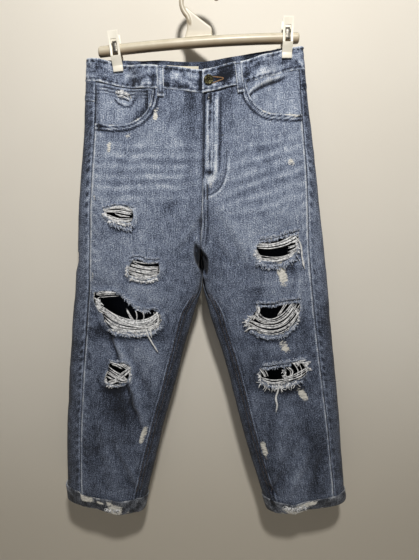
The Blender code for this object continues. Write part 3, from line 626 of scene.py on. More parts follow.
def rounded(line, step=2.0):
    """A smooth line through a few points, as many points a short step apart."""
    line = np.asarray(line, float)
    length = np.append(0, np.cumsum(np.linalg.norm(np.diff(line, axis=0), axis=1)))
    at = np.linspace(0, length[-1], max(2, int(length[-1] / step) + 1))
    return np.column_stack([
        along(np.column_stack([length, line[:, k]]), 1, at) for k in range(line.shape[1])
    ])


# %% Grid of cloth
def flat_lengths(points):
    """How far each point lies across and down the flat cut."""
    across = np.linalg.norm(np.diff(points, axis=1), axis=2)
    down = np.linalg.norm(np.diff(points, axis=0), axis=2)
    s = np.concatenate([np.zeros((len(points), 1)), np.cumsum(across, axis=1)], axis=1)
    t = np.concatenate([np.zeros((1, points.shape[1])), np.cumsum(down, axis=0)], axis=0)
    return s - s[:, points.shape[1] // 2 : points.shape[1] // 2 + 1], -t


def set_attribute(mesh, name, values):
    layer = mesh.attributes.new(name, "FLOAT", "POINT")
    layer.data.foreach_set("value", np.asarray(values, np.float32).ravel())


def lay_grid(name, rows, columns, points, wear, bared, flat_cut, uv_shift):
    """A grid of this many cells, moved to its points, with its worn tone and painted shade and its UV map in
    metres.

    Also returns the row and column of each vertex. In a closed ring the last one meets the first again.
    """
    bpy.ops.object.select_all(action="DESELECT")
    bpy.ops.mesh.primitive_grid_add(x_subdivisions=columns, y_subdivisions=rows, size=2)
    made = bpy.context.object
    made.name = name + "_cloth"
    mesh = made.data
    mesh.name = made.name
    flat = np.zeros(len(mesh.vertices) * 3)
    mesh.vertices.foreach_get("co", flat)
    flat = flat.reshape(-1, 3)
    column = np.rint((flat[:, 0] + 1) / 2 * columns).astype(int)
    row = np.rint((1 - flat[:, 1]) / 2 * rows).astype(int)
    at = (row % points.shape[0], column % points.shape[1])
    mesh.vertices.foreach_set("co", (points[at] * MM).ravel())
    set_attribute(mesh, "wear", wear[at])
    set_attribute(mesh, "bared", bared[at])
    corner = np.zeros(len(mesh.loops), np.int32)
    mesh.loops.foreach_get("vertex_index", corner)
    uv = np.column_stack([length[row, column] for length in flat_cut])[corner] * MM + uv_shift
    mesh.uv_layers[0].name = "UVMap"
    mesh.uv_layers[0].data.foreach_set("uv", uv.ravel())
    mesh.update()
    return made, row, column


def hand_over(made, node):
    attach(made, "root")
    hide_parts(node)
    return made


def cloth(name, points, wear, bared, outward, thickness=1.3, gone=None, uv_shift=0.0,
          face_material=DENIM, inner_material=SHADED_DENIM_INSIDE, edge_material=RAW_EDGE):
    """A sheet of cloth from a grid of points in millimetres, with the worn tone and painted shade of every
    point.

    It stands for the node of the same name. outward is a rough direction that the face looks, and gone
    says which cells of the grid are missing.
    """
    rows, columns = points.shape[:2]
    made, row, column = lay_grid(name, rows - 1, columns - 1, points, wear, bared, flat_lengths(points),
                                 uv_shift)
    mesh = made.data
    if gone is not None and gone.any():
        cell = np.array([[np.min(row[list(p.vertices)]), np.min(column[list(p.vertices)])]
                         for p in mesh.polygons])
        mesh.polygons.foreach_set("select", gone[cell[:, 0], cell[:, 1]])
        mesh.vertices.foreach_set("select", np.zeros(len(mesh.vertices), bool))
        mesh.edges.foreach_set("select", np.zeros(len(mesh.edges), bool))
        bpy.ops.object.mode_set(mode="EDIT")
        bpy.ops.mesh.select_mode(type="FACE")
        bpy.ops.mesh.delete(type="FACE")
        bpy.ops.object.mode_set(mode="OBJECT")
    middle = mesh.polygons[len(mesh.polygons) // 2]
    if middle.normal.dot(Vector(outward)) < 0:
        bpy.ops.object.mode_set(mode="EDIT")
        bpy.ops.mesh.select_all(action="SELECT")
        bpy.ops.mesh.flip_normals()
        bpy.ops.object.mode_set(mode="OBJECT")
    bpy.ops.object.shade_smooth()
    for material in (face_material, inner_material, edge_material):
        mesh.materials.append(material)
    wall_step = made.modifiers.new("thickness", "SOLIDIFY")
    wall_step.thickness = thickness * MM
    wall_step.offset = -1
    wall_step.material_offset = 1
    wall_step.material_offset_rim = 2
    bpy.ops.object.modifier_apply(modifier=wall_step.name)
    return hand_over(made, name)

# %% [markdown]
# ## Folds and small relief
# Worn denim is never smooth. Broad soft folds are listed one by one, each as a trough or a ridge with its own
# length, width and lean, and a fine unevenness lies over everything. Each piece on the same side of the
# garment takes the same folds, so pockets, bands and facings follow the panel that they lie on.

# %% Folds listed one by one
CREASES = (
    # face, x, z, half_length, half_width, depth, lean: positive is a trough, negative a ridge
    (-1, -173, -676, 36, 4.5, 4.4, -0.28), (-1, -161, -676, 42, 8, -2.2, -0.28),
    (-1, -141, -792, 50, 4.5, 4.6, -0.25), (-1, -127, -796, 60, 10, -2.6, -0.25),
    (-1, -172, -770, 60, 16, 2.0, -0.15),
    (-1, -112, -760, 120, 9, 1.6, -0.42), (-1, -100, -700, 90, 14, -1.4, -0.30),
    (-1, -146, -545, 34, 7, 1.4, 0.10), (-1, -150, -330, 60, 14, 1.2, 0.35),
    (-1, -60, -400, 70, 14, 1.2, 0.60), (-1, -30, -470, 60, 10, 1.6, 0.70),
    (-1, -18, -440, 60, 8, -1.2, 0.55),
    (-1, -225, -560, 120, 8, 1.2, 0.05), (-1, -212, -930, 90, 12, 1.6, -0.10),
    (-1, -160, -950, 80, 10, 1.4, -0.35),
    (-1, -140, -965, 66, 8, -1.6, -0.45), (-1, -238, -820, 80, 10, -1.2, -0.05),
    (-1, 40, -470, 56, 10, 1.6, -0.75), (-1, 62, -430, 70, 12, -1.2, -0.60),
    (-1, 84, -500, 60, 10, 1.4, -0.50),
    (-1, 187, -540, 52, 5, 2.2, -0.02), (-1, 196, -540, 60, 9, -1.6, -0.02),
    (-1, 118, -560, 60, 9, 1.2, 0.10),
    (-1, 132, -690, 34, 7, 1.4, 0.06), (-1, 214, -660, 60, 9, 1.4, -0.12), (-1, 108, -720, 110, 9, 1.4, 0.22),
    (-1, 150, -830, 70, 9, 1.6, -0.08), (-1, 226, -860, 100, 12, 1.6, -0.14),
    (-1, 186, -930, 90, 12, 1.4, 0.10),
    (-1, 212, -945, 70, 9, -1.6, 0.30), (-1, 250, -960, 50, 8, 1.4, 0.20), (-1, 160, -985, 30, 8, 1.6, 0.5),
    (-1, 160, -1004, 16, 3.5, 3.6, -0.9), (-1, 151, -1006, 18, 5, -2.4, -0.9),
    (-1, -136, -1006, 14, 3.5, 2.6, 0.7),
    (-1, 120, -300, 60, 14, 1.0, -0.5), (-1, 60, -250, 50, 10, 0.9, -0.3), (-1, -60, -250, 46, 9, 0.9, 0.2),
    (1, -70, -440, 90, 12, 2.4, 0.75), (1, -40, -480, 70, 9, 2.2, 0.85), (1, -110, -430, 80, 14, -1.6, 0.60),
    (1, 70, -440, 90, 12, 2.4, -0.75), (1, 42, -485, 70, 9, 2.2, -0.85), (1, 112, -430, 80, 14, -1.6, -0.60),
    (1, -150, -600, 90, 10, 1.8, 0.10), (1, -190, -760, 110, 11, 1.8, -0.12),
    (1, -120, -700, 90, 9, 1.6, -0.35),
    (1, -215, -900, 100, 12, 1.6, -0.08), (1, -160, -930, 80, 10, -1.4, -0.20),
    (1, 160, -610, 90, 10, 1.8, 0.05),
    (1, 205, -770, 110, 11, 1.8, 0.12), (1, 130, -720, 90, 9, 1.6, 0.30), (1, 240, -900, 100, 12, 1.6, 0.10),
    (1, 180, -930, 80, 10, -1.4, 0.20), (1, -60, -560, 50, 9, 1.8, 0.20), (1, 64, -560, 50, 9, 1.8, -0.20),
)


CREASE_DEPTH = 1.5


def body_relief(face, x, z):
    """How far the cloth stands out of the plain form, in millimetres."""
    out = 0.8 * soft_noise(x, z, 58, 11 + face) + 0.4 * soft_noise(x, z, 23, 21 + face)
    for crease_face, cx, cz, half_length, half_width, depth, lean in CREASES:
        if crease_face == face:
            wander = 2.5 * soft_noise(z, z * 0 + cx, 22, 31)
            beside = (x - cx - wander - lean * (z - cz)) / half_width
            out = out - CREASE_DEPTH * depth * np.exp(-(beside**2) - ((z - cz) / half_length) ** 2)
    return out * (0.15 + 0.85 * ease((z + 1022) / 34))


def grain_relief(x, z, seed):
    """The fine unevenness of washed cloth."""
    return 0.16 * soft_noise(x, z, 9, seed) + 0.09 * soft_noise(x, z, 4.5, seed + 1)


# %% [markdown]
# ## Where the blue has gone
# The thighs and hips are palest, and the blue stays towards the side seams and the hems. Whiskers are the
# pale and dark streaks that sitting presses in at the hips. Scrapes are small places rubbed to white. Darker
# patches beside the deepest creases and under the worn openings are painted shade.

# %% Wear of the front and the back
WHISKERS = (
    # face, x, z, half_length, half_width, rise, bow, strength
    (-1, -105, -281, 88, 4.5, -0.03, 0.0003, 0.09), (-1, -100, -300, 92, 5.0, -0.02, 0.0003, 0.12),
    (-1, -95, -318, 96, 5.0, 0.00, 0.0003, 0.11), (-1, -100, -338, 90, 5.5, 0.02, 0.0003, 0.12),
    (-1, -105, -357, 84, 5.0, 0.03, 0.0003, 0.10), (-1, -105, -378, 80, 5.0, 0.05, 0.0003, 0.08),
    (-1, 118, -276, 70, 4.5, 0.20, 0.0, 0.08), (-1, 122, -300, 78, 5.0, 0.26, 0.0, 0.10),
    (-1, 122, -322, 84, 5.0, 0.32, 0.0, 0.12), (-1, 124, -345, 84, 5.5, 0.32, 0.0, 0.11),
    (-1, 126, -368, 80, 5.0, 0.30, 0.0, 0.10), (-1, 128, -390, 70, 5.0, 0.28, 0.0, 0.07),
    (-1, -130, -530, 60, 6.0, -0.10, 0.0, 0.06), (-1, 150, -540, 60, 6.0, 0.12, 0.0, 0.06),
    (1, -150, -640, 60, 7.0, -0.12, 0.0, 0.08), (1, -150, -668, 62, 7.0, -0.06, 0.0, 0.08),
    (1, -152, -696, 60, 7.0, 0.05, 0.0, 0.07), (1, 165, -640, 60, 7.0, 0.12, 0.0, 0.08),
    (1, 165, -668, 62, 7.0, 0.06, 0.0, 0.08), (1, 168, -696, 60, 7.0, -0.05, 0.0, 0.07),
    (1, -110, -420, 70, 8.0, 0.30, 0.0, 0.08), (1, 115, -420, 70, 8.0, -0.30, 0.0, 0.08),
)
FADES_AND_SHADE = (
    # face, x, z, half_width, half_height, amount
    (-1, -110, -350, 80, 120, 0.035), (-1, 120, -350, 80, 120, 0.035), (-1, -140, -620, 50, 150, 0.05),
    (-1, 150, -620, 50, 150, 0.05), (-1, -190, -900, 40, 110, 0.01),
    # On the next line, the patch at x -174, z -780 is painted shade beside the right shin's crease.
    (-1, 205, -910, 40, 110, 0.05), (-1, -174, -780, 22, 60, -0.09), (-1, -232, -930, 20, 130, -0.09),
    (-1, -150, -960, 18, 90, -0.05), (-1, 148, -940, 18, 90, -0.08), (-1, 250, -930, 22, 130, -0.10),
    (-1, -16, -260, 13, 130, -0.10), (-1, -20, -480, 26, 90, -0.08), (-1, 30, -500, 26, 70, -0.06),
    (-1, -12, -200, 14, 30, -0.12), (-1, 54, -196, 13, 24, -0.12), (-1, -82, -190, 10, 12, -0.16),
    # The patch at x -150, z -806 is painted shade beside the same crease, and the pale one at x -118, z -730
    # a painted highlight on its lit side.
    (-1, -150, -806, 34, 52, -0.10), (-1, -118, -730, 30, 50, 0.05), (-1, 150, -668, 30, 28, 0.07),
    # The patch at x 170, z -734 is painted shade round the left shin's opening.
    (-1, -110, -548, 44, 30, 0.05), (-1, 150, -540, 34, 26, 0.03), (-1, 170, -734, 60, 34, -0.15),
    # The narrow dark patches on the next three lines are painted shadow under the fringes of the worn
    # openings.
    (-1, 148, -510, 42, 8, -0.24), (-1, -130, -652, 60, 8, -0.18), (-1, -178, -764, 26, 8, -0.22),
    (-1, 168, -762, 46, 10, -0.30), (-1, 150, -658, 46, 7, -0.12), (-1, 102, -630, 12, 12, -0.18),
    (-1, -198, -638, 18, 12, -0.24), (-1, -148, -436, 30, 6, -0.16),
    (1, -105, -330, 90, 110, 0.06), (1, 110, -330, 90, 110, 0.06), (1, -150, -620, 66, 170, 0.06),
    (1, 160, -620, 66, 170, 0.06),
)
SCRAPES = (
    # x, z, half_width, half_height, lean, strength, all on the front
    (-79, -226, 5.0, 14, 0.25, 0.80), (-132, -262, 6, 6, 0.3, 0.52), (-169, -284, 5, 13, 0.2, 0.62),
    (-199, -376, 3, 13, 0.0, 0.55), (-209, -527, 2.6, 20, 0.05, 0.50), (174, -309, 8, 9, 0.0, 0.60),
    (161, -521, 9.5, 25, -0.26, 0.95), (171, -671, 10, 15, -0.5, 0.80), (212, -774, 9, 15, -0.5, 0.74),
    (137, -902, 7, 22, -0.25, 0.70), (-119, -866, 6, 22, 0.3, 0.85), (-100, -470, 3, 6, 0.0, 0.30),
    (60, -560, 3, 8, 0.2, 0.30), (-205, -250, 2.5, 14, 0.0, 0.35), (23, -352, 5, 8, 0.0, 0.52),
    (176, -226, 12, 3, 0.0, 0.62),
)
WHISKER_SHADOW = (10, 0.7)  # mm below a whisker, and its share: the dark line that goes with each pale one


def body_wear_and_shade(face, x, z):
    """How worn the cloth is, with painted shade and highlight in places, from 0, dark, to 1, white."""
    wear = 0.50 + 0.04 * soft_noise(x, z, 46, 41 + face) + 0.035 * soft_noise(x, z, 15, 43 + face)
    wear = wear - 0.10 * ease((-430 - z) / 220)
    for fade_face, fx, fz, half_width, half_height, amount in FADES_AND_SHADE:
        if fade_face == face:
            wear = wear + amount * spot((x - fx) / half_width, (z - fz) / half_height)
    below, share = WHISKER_SHADOW
    for streak_face, wx, wz, half_length, half_width, rise, bow, strength in WHISKERS:
        if streak_face == face:
            line = wz + rise * (x - wx) + bow * (x - wx) ** 2 + 3 * line_noise(x, 30, 51, wz)
            reach = np.exp(-(((x - wx) / half_length) ** 4)) * (0.75 + 0.5 * soft_noise(x, z, 18, 52))
            pressed = bell(z - line, half_width) - share * bell(z - line + below, half_width)
            wear = wear + strength * reach * pressed
    # Ridges are paler and troughs darker: partly wear, partly painted shade of the folds.
    return wear + 0.028 * body_relief(face, x, z)


def body_bared(face, x, z):
    """How much white weft shows, from 0 to 1."""
    bared = np.zeros_like(x)
    for sx, sz, half_width, half_height, lean, strength in SCRAPES if face == -1 else ():
        patch = spot((x - sx - lean * (z - sz)) / half_width, (z - sz) / half_height, 3)
        bared = np.maximum(bared, strength * patch * (1 + 0.5 * soft_noise(x, z, 5, 61)))
    return bared


def plain_cloth(face, x, z, seed):
    """Relief, worn tone with its painted shade, and baring of washed cloth before any seam is laid on it."""
    relief = body_relief(face, x, z) + grain_relief(x, z, seed)
    return relief, body_wear_and_shade(face, x, z), body_bared(face, x, z)

# %% [markdown]
# ## Front panels
# Each front is one long piece with a curved pocket mouth at the top. Its worn openings are cut with ragged
# outlines, and their edges curl out a little, because the weft that held them flat has frayed away.

# %% Outlines of the openings and of the pocket mouths
RIPS = {
    # x, z round each opening
    "right_thigh": ((-177, -398), (-167, -393), (-146, -392), (-127, -398), (-124, -408), (-127, -419),
                    (-135, -424), (-143, -421), (-154, -422), (-168, -417), (-177, -411)),
    "right_upper_knee": ((-130, -495), (-119, -492), (-102, -499), (-81, -498), (-77, -507), (-79, -521),
                         (-86, -527), (-103, -530), (-120, -528), (-135, -524), (-137, -513)),
    "right_knee": ((-207, -560), (-191, -556), (-173, -557), (-156, -565), (-139, -579), (-122, -591),
                   (-104, -594), (-90, -594), (-79, -602), (-78, -622), (-91, -635), (-115, -638),
                   (-139, -638), (-163, -638), (-181, -631), (-190, -616), (-195, -597), (-206, -584)),
    "right_shin": ((-179, -701), (-166, -706), (-153, -704), (-142, -712), (-143, -731), (-150, -744),
                   (-167, -750), (-186, -752), (-193, -744), (-188, -727), (-185, -712)),
    "left_thigh": ((119, -457), (141, -454), (163, -447), (186, -441), (191, -452), (189, -468),
                   (183, -484), (165, -492), (142, -497), (119, -494), (110, -484), (111, -468)),
    "left_knee": ((121, -581), (144, -583), (168, -578), (195, -575), (199, -592), (196, -612),
                  (181, -630), (160, -643), (132, -644), (109, -635), (98, -621), (104, -607), (114, -595)),
    "left_shin": ((131, -713), (157, -709), (184, -706), (209, -701), (218, -716), (214, -733),
                  (197, -741), (173, -748), (144, -750), (127, -741), (125, -724)),
}
MOUTHS = {
    "right": ((-83, -184), (-87, -204), (-97, -221), (-112, -233), (-132, -241), (-160, -243), (-196, -240)),
    "left": ((86, -172), (91, -190), (99, -203), (110, -213), (126, -221), (152, -223), (204, -224)),
}


def ragged(corners, rough, seed):
    """A closed outline with frayed, uneven edges."""
    corners = np.asarray(corners, float)
    closed = np.vstack([corners, corners[:1]])
    line = rounded(closed, 3.0)[:-1]
    middle = line.mean(0)
    away = line - middle
    away /= np.linalg.norm(away, axis=1, keepdims=True)
    return line + away * (rough * soft_noise(line[:, 0], line[:, 1], 3.4, seed))[:, None]


RIP_EDGES = {name: ragged(corners, 1.5, 70 + i) for i, (name, corners) in enumerate(RIPS.items())}
MOUTH_EDGES = {leg: rounded(corners, 4.0) for leg, corners in MOUTHS.items()}


# %% Cutting a grid along an outline
def cut_away(points, corners, reach=1.6):
    """Moves the grid's points that lie near an outline onto it, and says which cells lie inside."""
    flat = points[..., (0, 2)].reshape(-1, 2)
    corners = np.asarray(corners, float)
    near = (
        (flat > corners.min(0) - 8) & (flat < corners.max(0) + 8)
    ).all(1) & (points[..., 1].reshape(-1) < 12)
    moved = points.reshape(-1, 3).copy()
    inside = np.zeros(len(flat), bool)
    found, gap, nearest = to_outline(flat[near], corners)
    inside[near] = found
    snapped = gap < reach
    index = np.nonzero(near)[0][snapped]
    moved[index, 0], moved[index, 2] = nearest[snapped].T
    flat = moved[:, (0, 2)].reshape(*points.shape[:2], 2)
    centres = (flat[:-1, :-1] + flat[1:, :-1] + flat[:-1, 1:] + flat[1:, 1:]) / 4
    gone = np.zeros(centres.shape[:2], bool)
    block = ((centres > corners.min(0)) & (centres < corners.max(0))).all(2) & (points[:-1, :-1, 1] < 12)
    gone[block] = to_outline(centres[block], corners)[0]
    return moved.reshape(points.shape), gone


# %% A panel as a fine grid
CELL = 2.6


def panel_net(leg, face, top_z, bottom_z, width_z=-500.0):
    """u and z of a fine grid over a panel, from one level to another, with columns CELL wide at width_z."""
    columns = int(panel_width(leg, face, width_z) / CELL)
    rows = int((top_z - bottom_z) / CELL)
    levels, u = np.meshgrid(np.linspace(top_z, bottom_z, rows), np.linspace(0, 1, columns), indexing="ij")
    flat = on_form(leg, face, u, levels)
    return u, row_height(leg, flat[..., 0], flat[..., 1], levels)


def seam_shape(leg, face, from_side, from_in, z):
    """Relief and wear of the sewn edges: the pressed-open side seam and the felled inseam."""
    out = stripes(-0.6 * bell(from_side, 2.2), from_in, (-0.5, 0, 2.2))
    uneven = 0.7 + 0.8 * line_noise(z, 34, 85 + face)
    pucker = np.sin((z + 0.6 * from_side) / 18 * 2 * math.pi + 4.0 * line_noise(z, 44, 81 + face)) * uneven
    pucker = pucker * (1.0 if leg == "right" else 0.75)
    ridge = bell(from_side - 10, 4.5) if face == -1 else bell(from_side - 7, 3.4)
    out = out + ridge * (0.5 + 0.4 * pucker)
    wear = stripes(0.16 * bell(from_side - 2.0, 1.8), from_side, (-0.16, -0.3, 1.5))
    wear = wear + ridge * (0.08 * pucker if face == -1 else -0.04 + 0.17 * pucker)
    below = ease((FORK_Z - 6 - z) / 30)
    if face == 1:
        return out, wear - 0.08 * below * bell(from_in - 2, 3)
    band = ease((15.5 - from_in) / 2.0) * below
    twist = np.sin((z + 2.5 * from_in) / 12 * 2 * math.pi + 3 * line_noise(z, 40, 83))
    wear = wear + 0.16 * bell(from_side - 2.0, 1.8) * (1 + line_noise(z, 9, 84))
    out = out + 0.9 * band - 0.4 * band * (bell(from_in - 4.0, 1.2) + bell(from_in - 11.5, 1.2))
    wear = wear + below * stripes(0, from_in, (0.17, 15.0, 1.4), (0.05, 7.8, 1.3), (0.08, 0.8, 1.3))
    wear = wear - below * stripes(0, from_in, (0.14, 11.6, 1.6), (0.14, 4.2, 1.6))
    return out, wear - band * (0.13 + 0.07 * twist) - 0.10 * below * bell(from_in - 18.0, 2.2)


def meet_middle(leg, points, from_in):
    """Closes the seam up the middle, so that no light shows between the two halves."""
    near = ease(1 - from_in / 3.5) * ease((points[..., 2] - FORK_Z) / 12)
    points[..., 0] -= SIDE[leg] * 0.65 * near
    return points


def pairs(x, z):
    return np.column_stack([x.ravel(), z.ravel()])


def line_gap(line, x, z):
    """How far each point of a grid is from an open line, and how far along it."""
    return [found.reshape(x.shape) for found in to_line(pairs(x, z), line)]


# %% Front panels
FORK_FOLD = rounded(((-7, -460), (0, -472), (9, -483), (16, -494), (16, -510), (11, -528), (3, -515),
                     (-5, -502),
                     (-9, -488), (-9, -472), (-7, -460)), 3.0)[:-1]  # where the cloth tucks in under the fly
FLY_BEND = ((51, -280), (52, -305), (49, -335), (43, -352), (33, -364), (18, -372))
RIP_REACH = 26  # mm round an opening where its curled edge shapes the cloth


def fly_edge(z):
    """x of the fly's folded edge."""
    return np.interp(-z, (186, 332, 362, 427, 465, 548), (10, 8, 6, 6, 2.5, 6))


def fly_shape(x, z, relief, wear, bared):
    """The fly: a raised facing beside the centre seam, its J-shaped stitching and its bar tacks."""
    beyond = x - fly_edge(z)
    upper = ease((z + 470) / 20)
    relief = relief + 1.3 * upper * ease(1 - beyond / 3 + 0.4) * (beyond > -3)
    below = ease((-350 - z) / 12) * upper
    wear = wear + 0.12 * upper * bell(beyond - 1.5, 1.6) - 0.30 * below * bell(beyond - 4.4, 1.5)
    wear = wear + below * stripes(0, beyond, (0.18, 1.4, 1.5), (0.18, 7.4, 1.6), (-0.24, 10.8, 1.8))
    run = ease((-184 - z) / 8) * ease((z + 338 - 0.5 * (beyond - 16)) / 9)
    dashes = 0.65 + 0.7 * line_noise(z, 3.2, 101)
    streak = soft_noise(x * 3, z, 16, 102)
    strip = ease((beyond - 4) / 2.5) * ease((27.5 - beyond) / 3)
    relief = relief + run * stripes(1.9 * strip, beyond, (-1.4, 32, 3.5), (-1.4, 2, 2.2))
    wear = wear + run * stripes(strip * (0.12 + 0.12 * streak), beyond, (0.12, 6, 1.5), (0.14, 25, 2.0))
    # Dark lines in the grooves at the folded edge and beyond the J stitching: painted shade.
    wear = wear - run * stripes(0, beyond, (0.45, 1.2, 2.0), (0.20, 30.5, 3.0))
    wear = wear - run * dashes * stripes(0, beyond, (0.50, 12, 1.5), (0.34, 18.5, 1.3))
    wear = wear - strip * run * 0.50 * bell(z + 199, 9) * ease(soft_noise(x, z, 4, 103) + 0.5)
    wear = wear - 0.34 * ease((beyond - 3) / 2) * ease((20 - beyond) / 3) * bell(z + 329, 4.5)
    wear = wear + 0.26 * spot((beyond - 17) / 9, (z + 340 - 0.4 * (beyond - 17)) / 8, 4)
    bend, _ = line_gap(rounded(FLY_BEND, 4.0), x, z)
    shown = ease((-284 - z) / 40)
    relief = relief + shown * stripes(0, bend, (-0.6, 0, 1.8), (0.6, 4.5, 3.0))
    sunk = stripes(0, bend, (0.20, 3.6, 1.9), (-0.20, 0, 1.7))
    wear = wear + shown * (sunk - 0.10 * bell(bend + 9, 6) * ease((-335 - z) / 12))
    bared = np.maximum(bared, run * 0.38 * bell(beyond - 8.5, 1.8) * (1 + streak))
    return relief, wear, bared


def mouth_shape(leg, x, z, relief, wear, bared):
    """The pocket mouth: a turned edge with two sunk rows of stitches, and the knot at its foot."""
    gap, run = line_gap(MOUTH_EDGES[leg], x, z)
    gap = np.abs(gap)
    wave = line_noise(run, 9, 93)
    relief = stripes(relief + 1.9 * ease(1 - gap / 13), gap, (-0.8, 3.6, 1.3), (-0.8, 10.0, 1.4))
    wear = stripes(wear, gap, (0.32 + 0.20 * wave, 0, 2.3), (-0.40, 3.9, 1.5), (0.26 + 0.20 * wave, 6.8, 1.9),
                   (-0.42, 10.6, 1.9))
    frayed = ease((np.abs(x) - 100) / 20) if leg == "left" else 0.75
    bared = np.maximum(bared, (0.66 + 0.5 * wave) * bell(gap, 2.1 if leg == "right" else 2.8) * frayed)
    foot_x, foot_z = MOUTHS[leg][-1]
    knot = bell(np.hypot(x - foot_x * 0.945, z - foot_z + 4), 6)
    return relief + 0.8 * knot, wear - 0.40 * knot, bared


def fork_shape(x, z, from_in, relief, wear):
    """The hollow at the fork, and the fold where the cloth tucks in under the fly, painted dark inside as
    painted shade.
    """
    fork = ease((z - FORK_Z + 55) / 40) * ease((FORK_Z + 95 - z) / 40)
    relief = relief - 4.0 * fork * bell(from_in, 16)
    tucked, gap, _ = to_outline(pairs(x, z), FORK_FOLD)
    gap = np.where(tucked, -gap, gap).reshape(x.shape)
    hollow = ease((1.5 - gap) / 5)
    wrinkle = soft_noise(x, z, 8, 99)
    relief = relief - 5.0 * hollow + 1.8 * bell(gap - 4.5, 3.5) + 1.3 * hollow * wrinkle
    # The tucked fold is painted darker: painted shade in the hollow.
    return relief, wear - hollow * (0.36 - 0.12 * wrinkle) + 0.03 * bell(gap - 4.0, 2.5)


def rip_shape(edge, x, z, relief, wear, bared):
    """The edges of an opening curl out, more along its foot, and the cloth round it is paler and bared, with
    a dark line of painted shadow below its foot and above its top.
    """
    here = pairs(x, z)
    near = ((here > edge.min(0) - RIP_REACH) & (here < edge.max(0) + RIP_REACH)).all(1)
    px, pz = here[near].T
    inside, gap, _ = to_outline(here[near], edge)
    gap = np.where(inside, -gap, gap)
    outside = np.maximum(gap, 0)
    low = (pz < edge[:, 1].mean()).astype(float)
    curl = (1.2 + 2.2 * low) * bell(outside, 4.5) - 0.9 * bell(gap - 11, 6)
    # Painted shadow: a dark line below the opening's fringe and one above its curled top edge.
    pale_halo_and_shadow = bell(np.maximum(gap - 2, 0), 7) - 1.3 * low * bell(gap - 12.5,
                                                              3.0) - 0.9 * (1 - low) * bell(gap - 6.5, 2.0)
    grids = []
    for values in (curl * (1 + 0.5 * soft_noise(px, pz, 7, 97)), pale_halo_and_shadow, bell(outside, 2.2) * 0.75):
        grid = np.zeros(len(here))
        grid[near] = values
        grids.append(grid.reshape(x.shape))
    curl, pale_halo_and_shadow, bare = grids
    tuft = 0.5 + 0.5 * soft_noise(x, z * 0.4, 3.0, 98)
    return relief + curl, wear + pale_halo_and_shadow * (0.02 + 0.10 * tuft), np.maximum(bared, bare * tuft)


def front_panel(leg):
    u, z = panel_net(leg, -1, ROW_TOP_Z, HEM_Z + 3.0)
    z = z - SEAM_GAP
    flat = on_form(leg, -1, u, z)
    x, width = flat[..., 0], panel_width(leg, -1, z)
    from_side, from_in = (1 - u) * width, u * width
    relief, wear, bared = plain_cloth(-1, x, z, 91)
    seam_out, seam_wear = seam_shape(leg, -1, from_side, from_in, z)
    relief, wear, bared = mouth_shape(leg, x, z, relief + seam_out, wear + seam_wear, bared)

    band_gap = flat[..., 2] - waist_line(x, -1, BAND_HEIGHT)
    puckered = line_noise(x, 8, 95)
    relief = relief + 0.5 * puckered * bell(band_gap, 14) - 0.6 * bell(band_gap, 2.4)
    # The dark line at the foot of the waistband is painted shade in the seam's groove.
    wear = wear + bell(band_gap + 7, 8) * (0.10 * puckered - 0.03) - 0.10 * bell(band_gap, 3)
    if leg == "left":
        relief, wear, bared = fly_shape(x, z, relief, wear, bared)
    else:
        relief = relief - 1.4 * bell(from_in, 5) * ease((z + 480) / 40)
        wear = wear - 0.14 * bell(from_in, 4) * ease((z + 540) / 40)
    relief, wear = fork_shape(x, z, from_in, relief, wear)

    edges = [edge for name, edge in RIP_EDGES.items() if name.startswith(leg)]
    for edge in edges:
        relief, wear, bared = rip_shape(edge, x, z, relief, wear, bared)
    points = meet_middle(leg, on_form(leg, -1, u, z, relief), from_in)
    mouth, beyond_side = MOUTH_EDGES[leg], SIDE[leg] * 270
    over_mouth = [(mouth[0][0], -60), *mouth, (beyond_side, mouth[-1][1]), (beyond_side, -60)]
    lost = np.zeros((x.shape[0] - 1, x.shape[1] - 1), bool)
    for edge in (*edges, over_mouth):
        points, gone = cut_away(points, edge)
        lost |= gone
    made = cloth("front_panel_" + leg, points, wear, bared, (0, -1, 0), gone=lost,
                 uv_shift=0.1 if leg == "left" else 0.0)
    print(made.name, "has", len(made.data.polygons), "faces")
    return made


fronts = {leg: front_panel(leg) for leg in SIDE}

# %% [markdown]
# ## Back panels and yokes
# The back is cut wider than the front and wraps round past the side seam. A shaped yoke joins it to the
# waistband and gives the seat its curve. The yoke seam is felled, so it stands up as a flat ridge.

# %% Yoke seam
def yoke_line(x):
    return waist_line(x, 1, 0) - along(YOKE, 1, x)


def centre_seam(from_in, z):
    """The felled seam up the middle of the seat."""
    upper = ease((z - FORK_Z) / 40)
    ridge = upper * ease((8.5 - from_in) / 1.5)
    out = 0.7 * ridge - 0.5 * upper * bell(from_in, 1.5)
    return out, upper * stripes(0, from_in, (0.12, 8.5, 1.3), (-0.10, 10.5, 1.8))


def turned_side(y):
    """1 where the back wraps round to the side seam, 0 where it faces back."""
    return ease(0.62 - np.abs(y + 6) / 30)


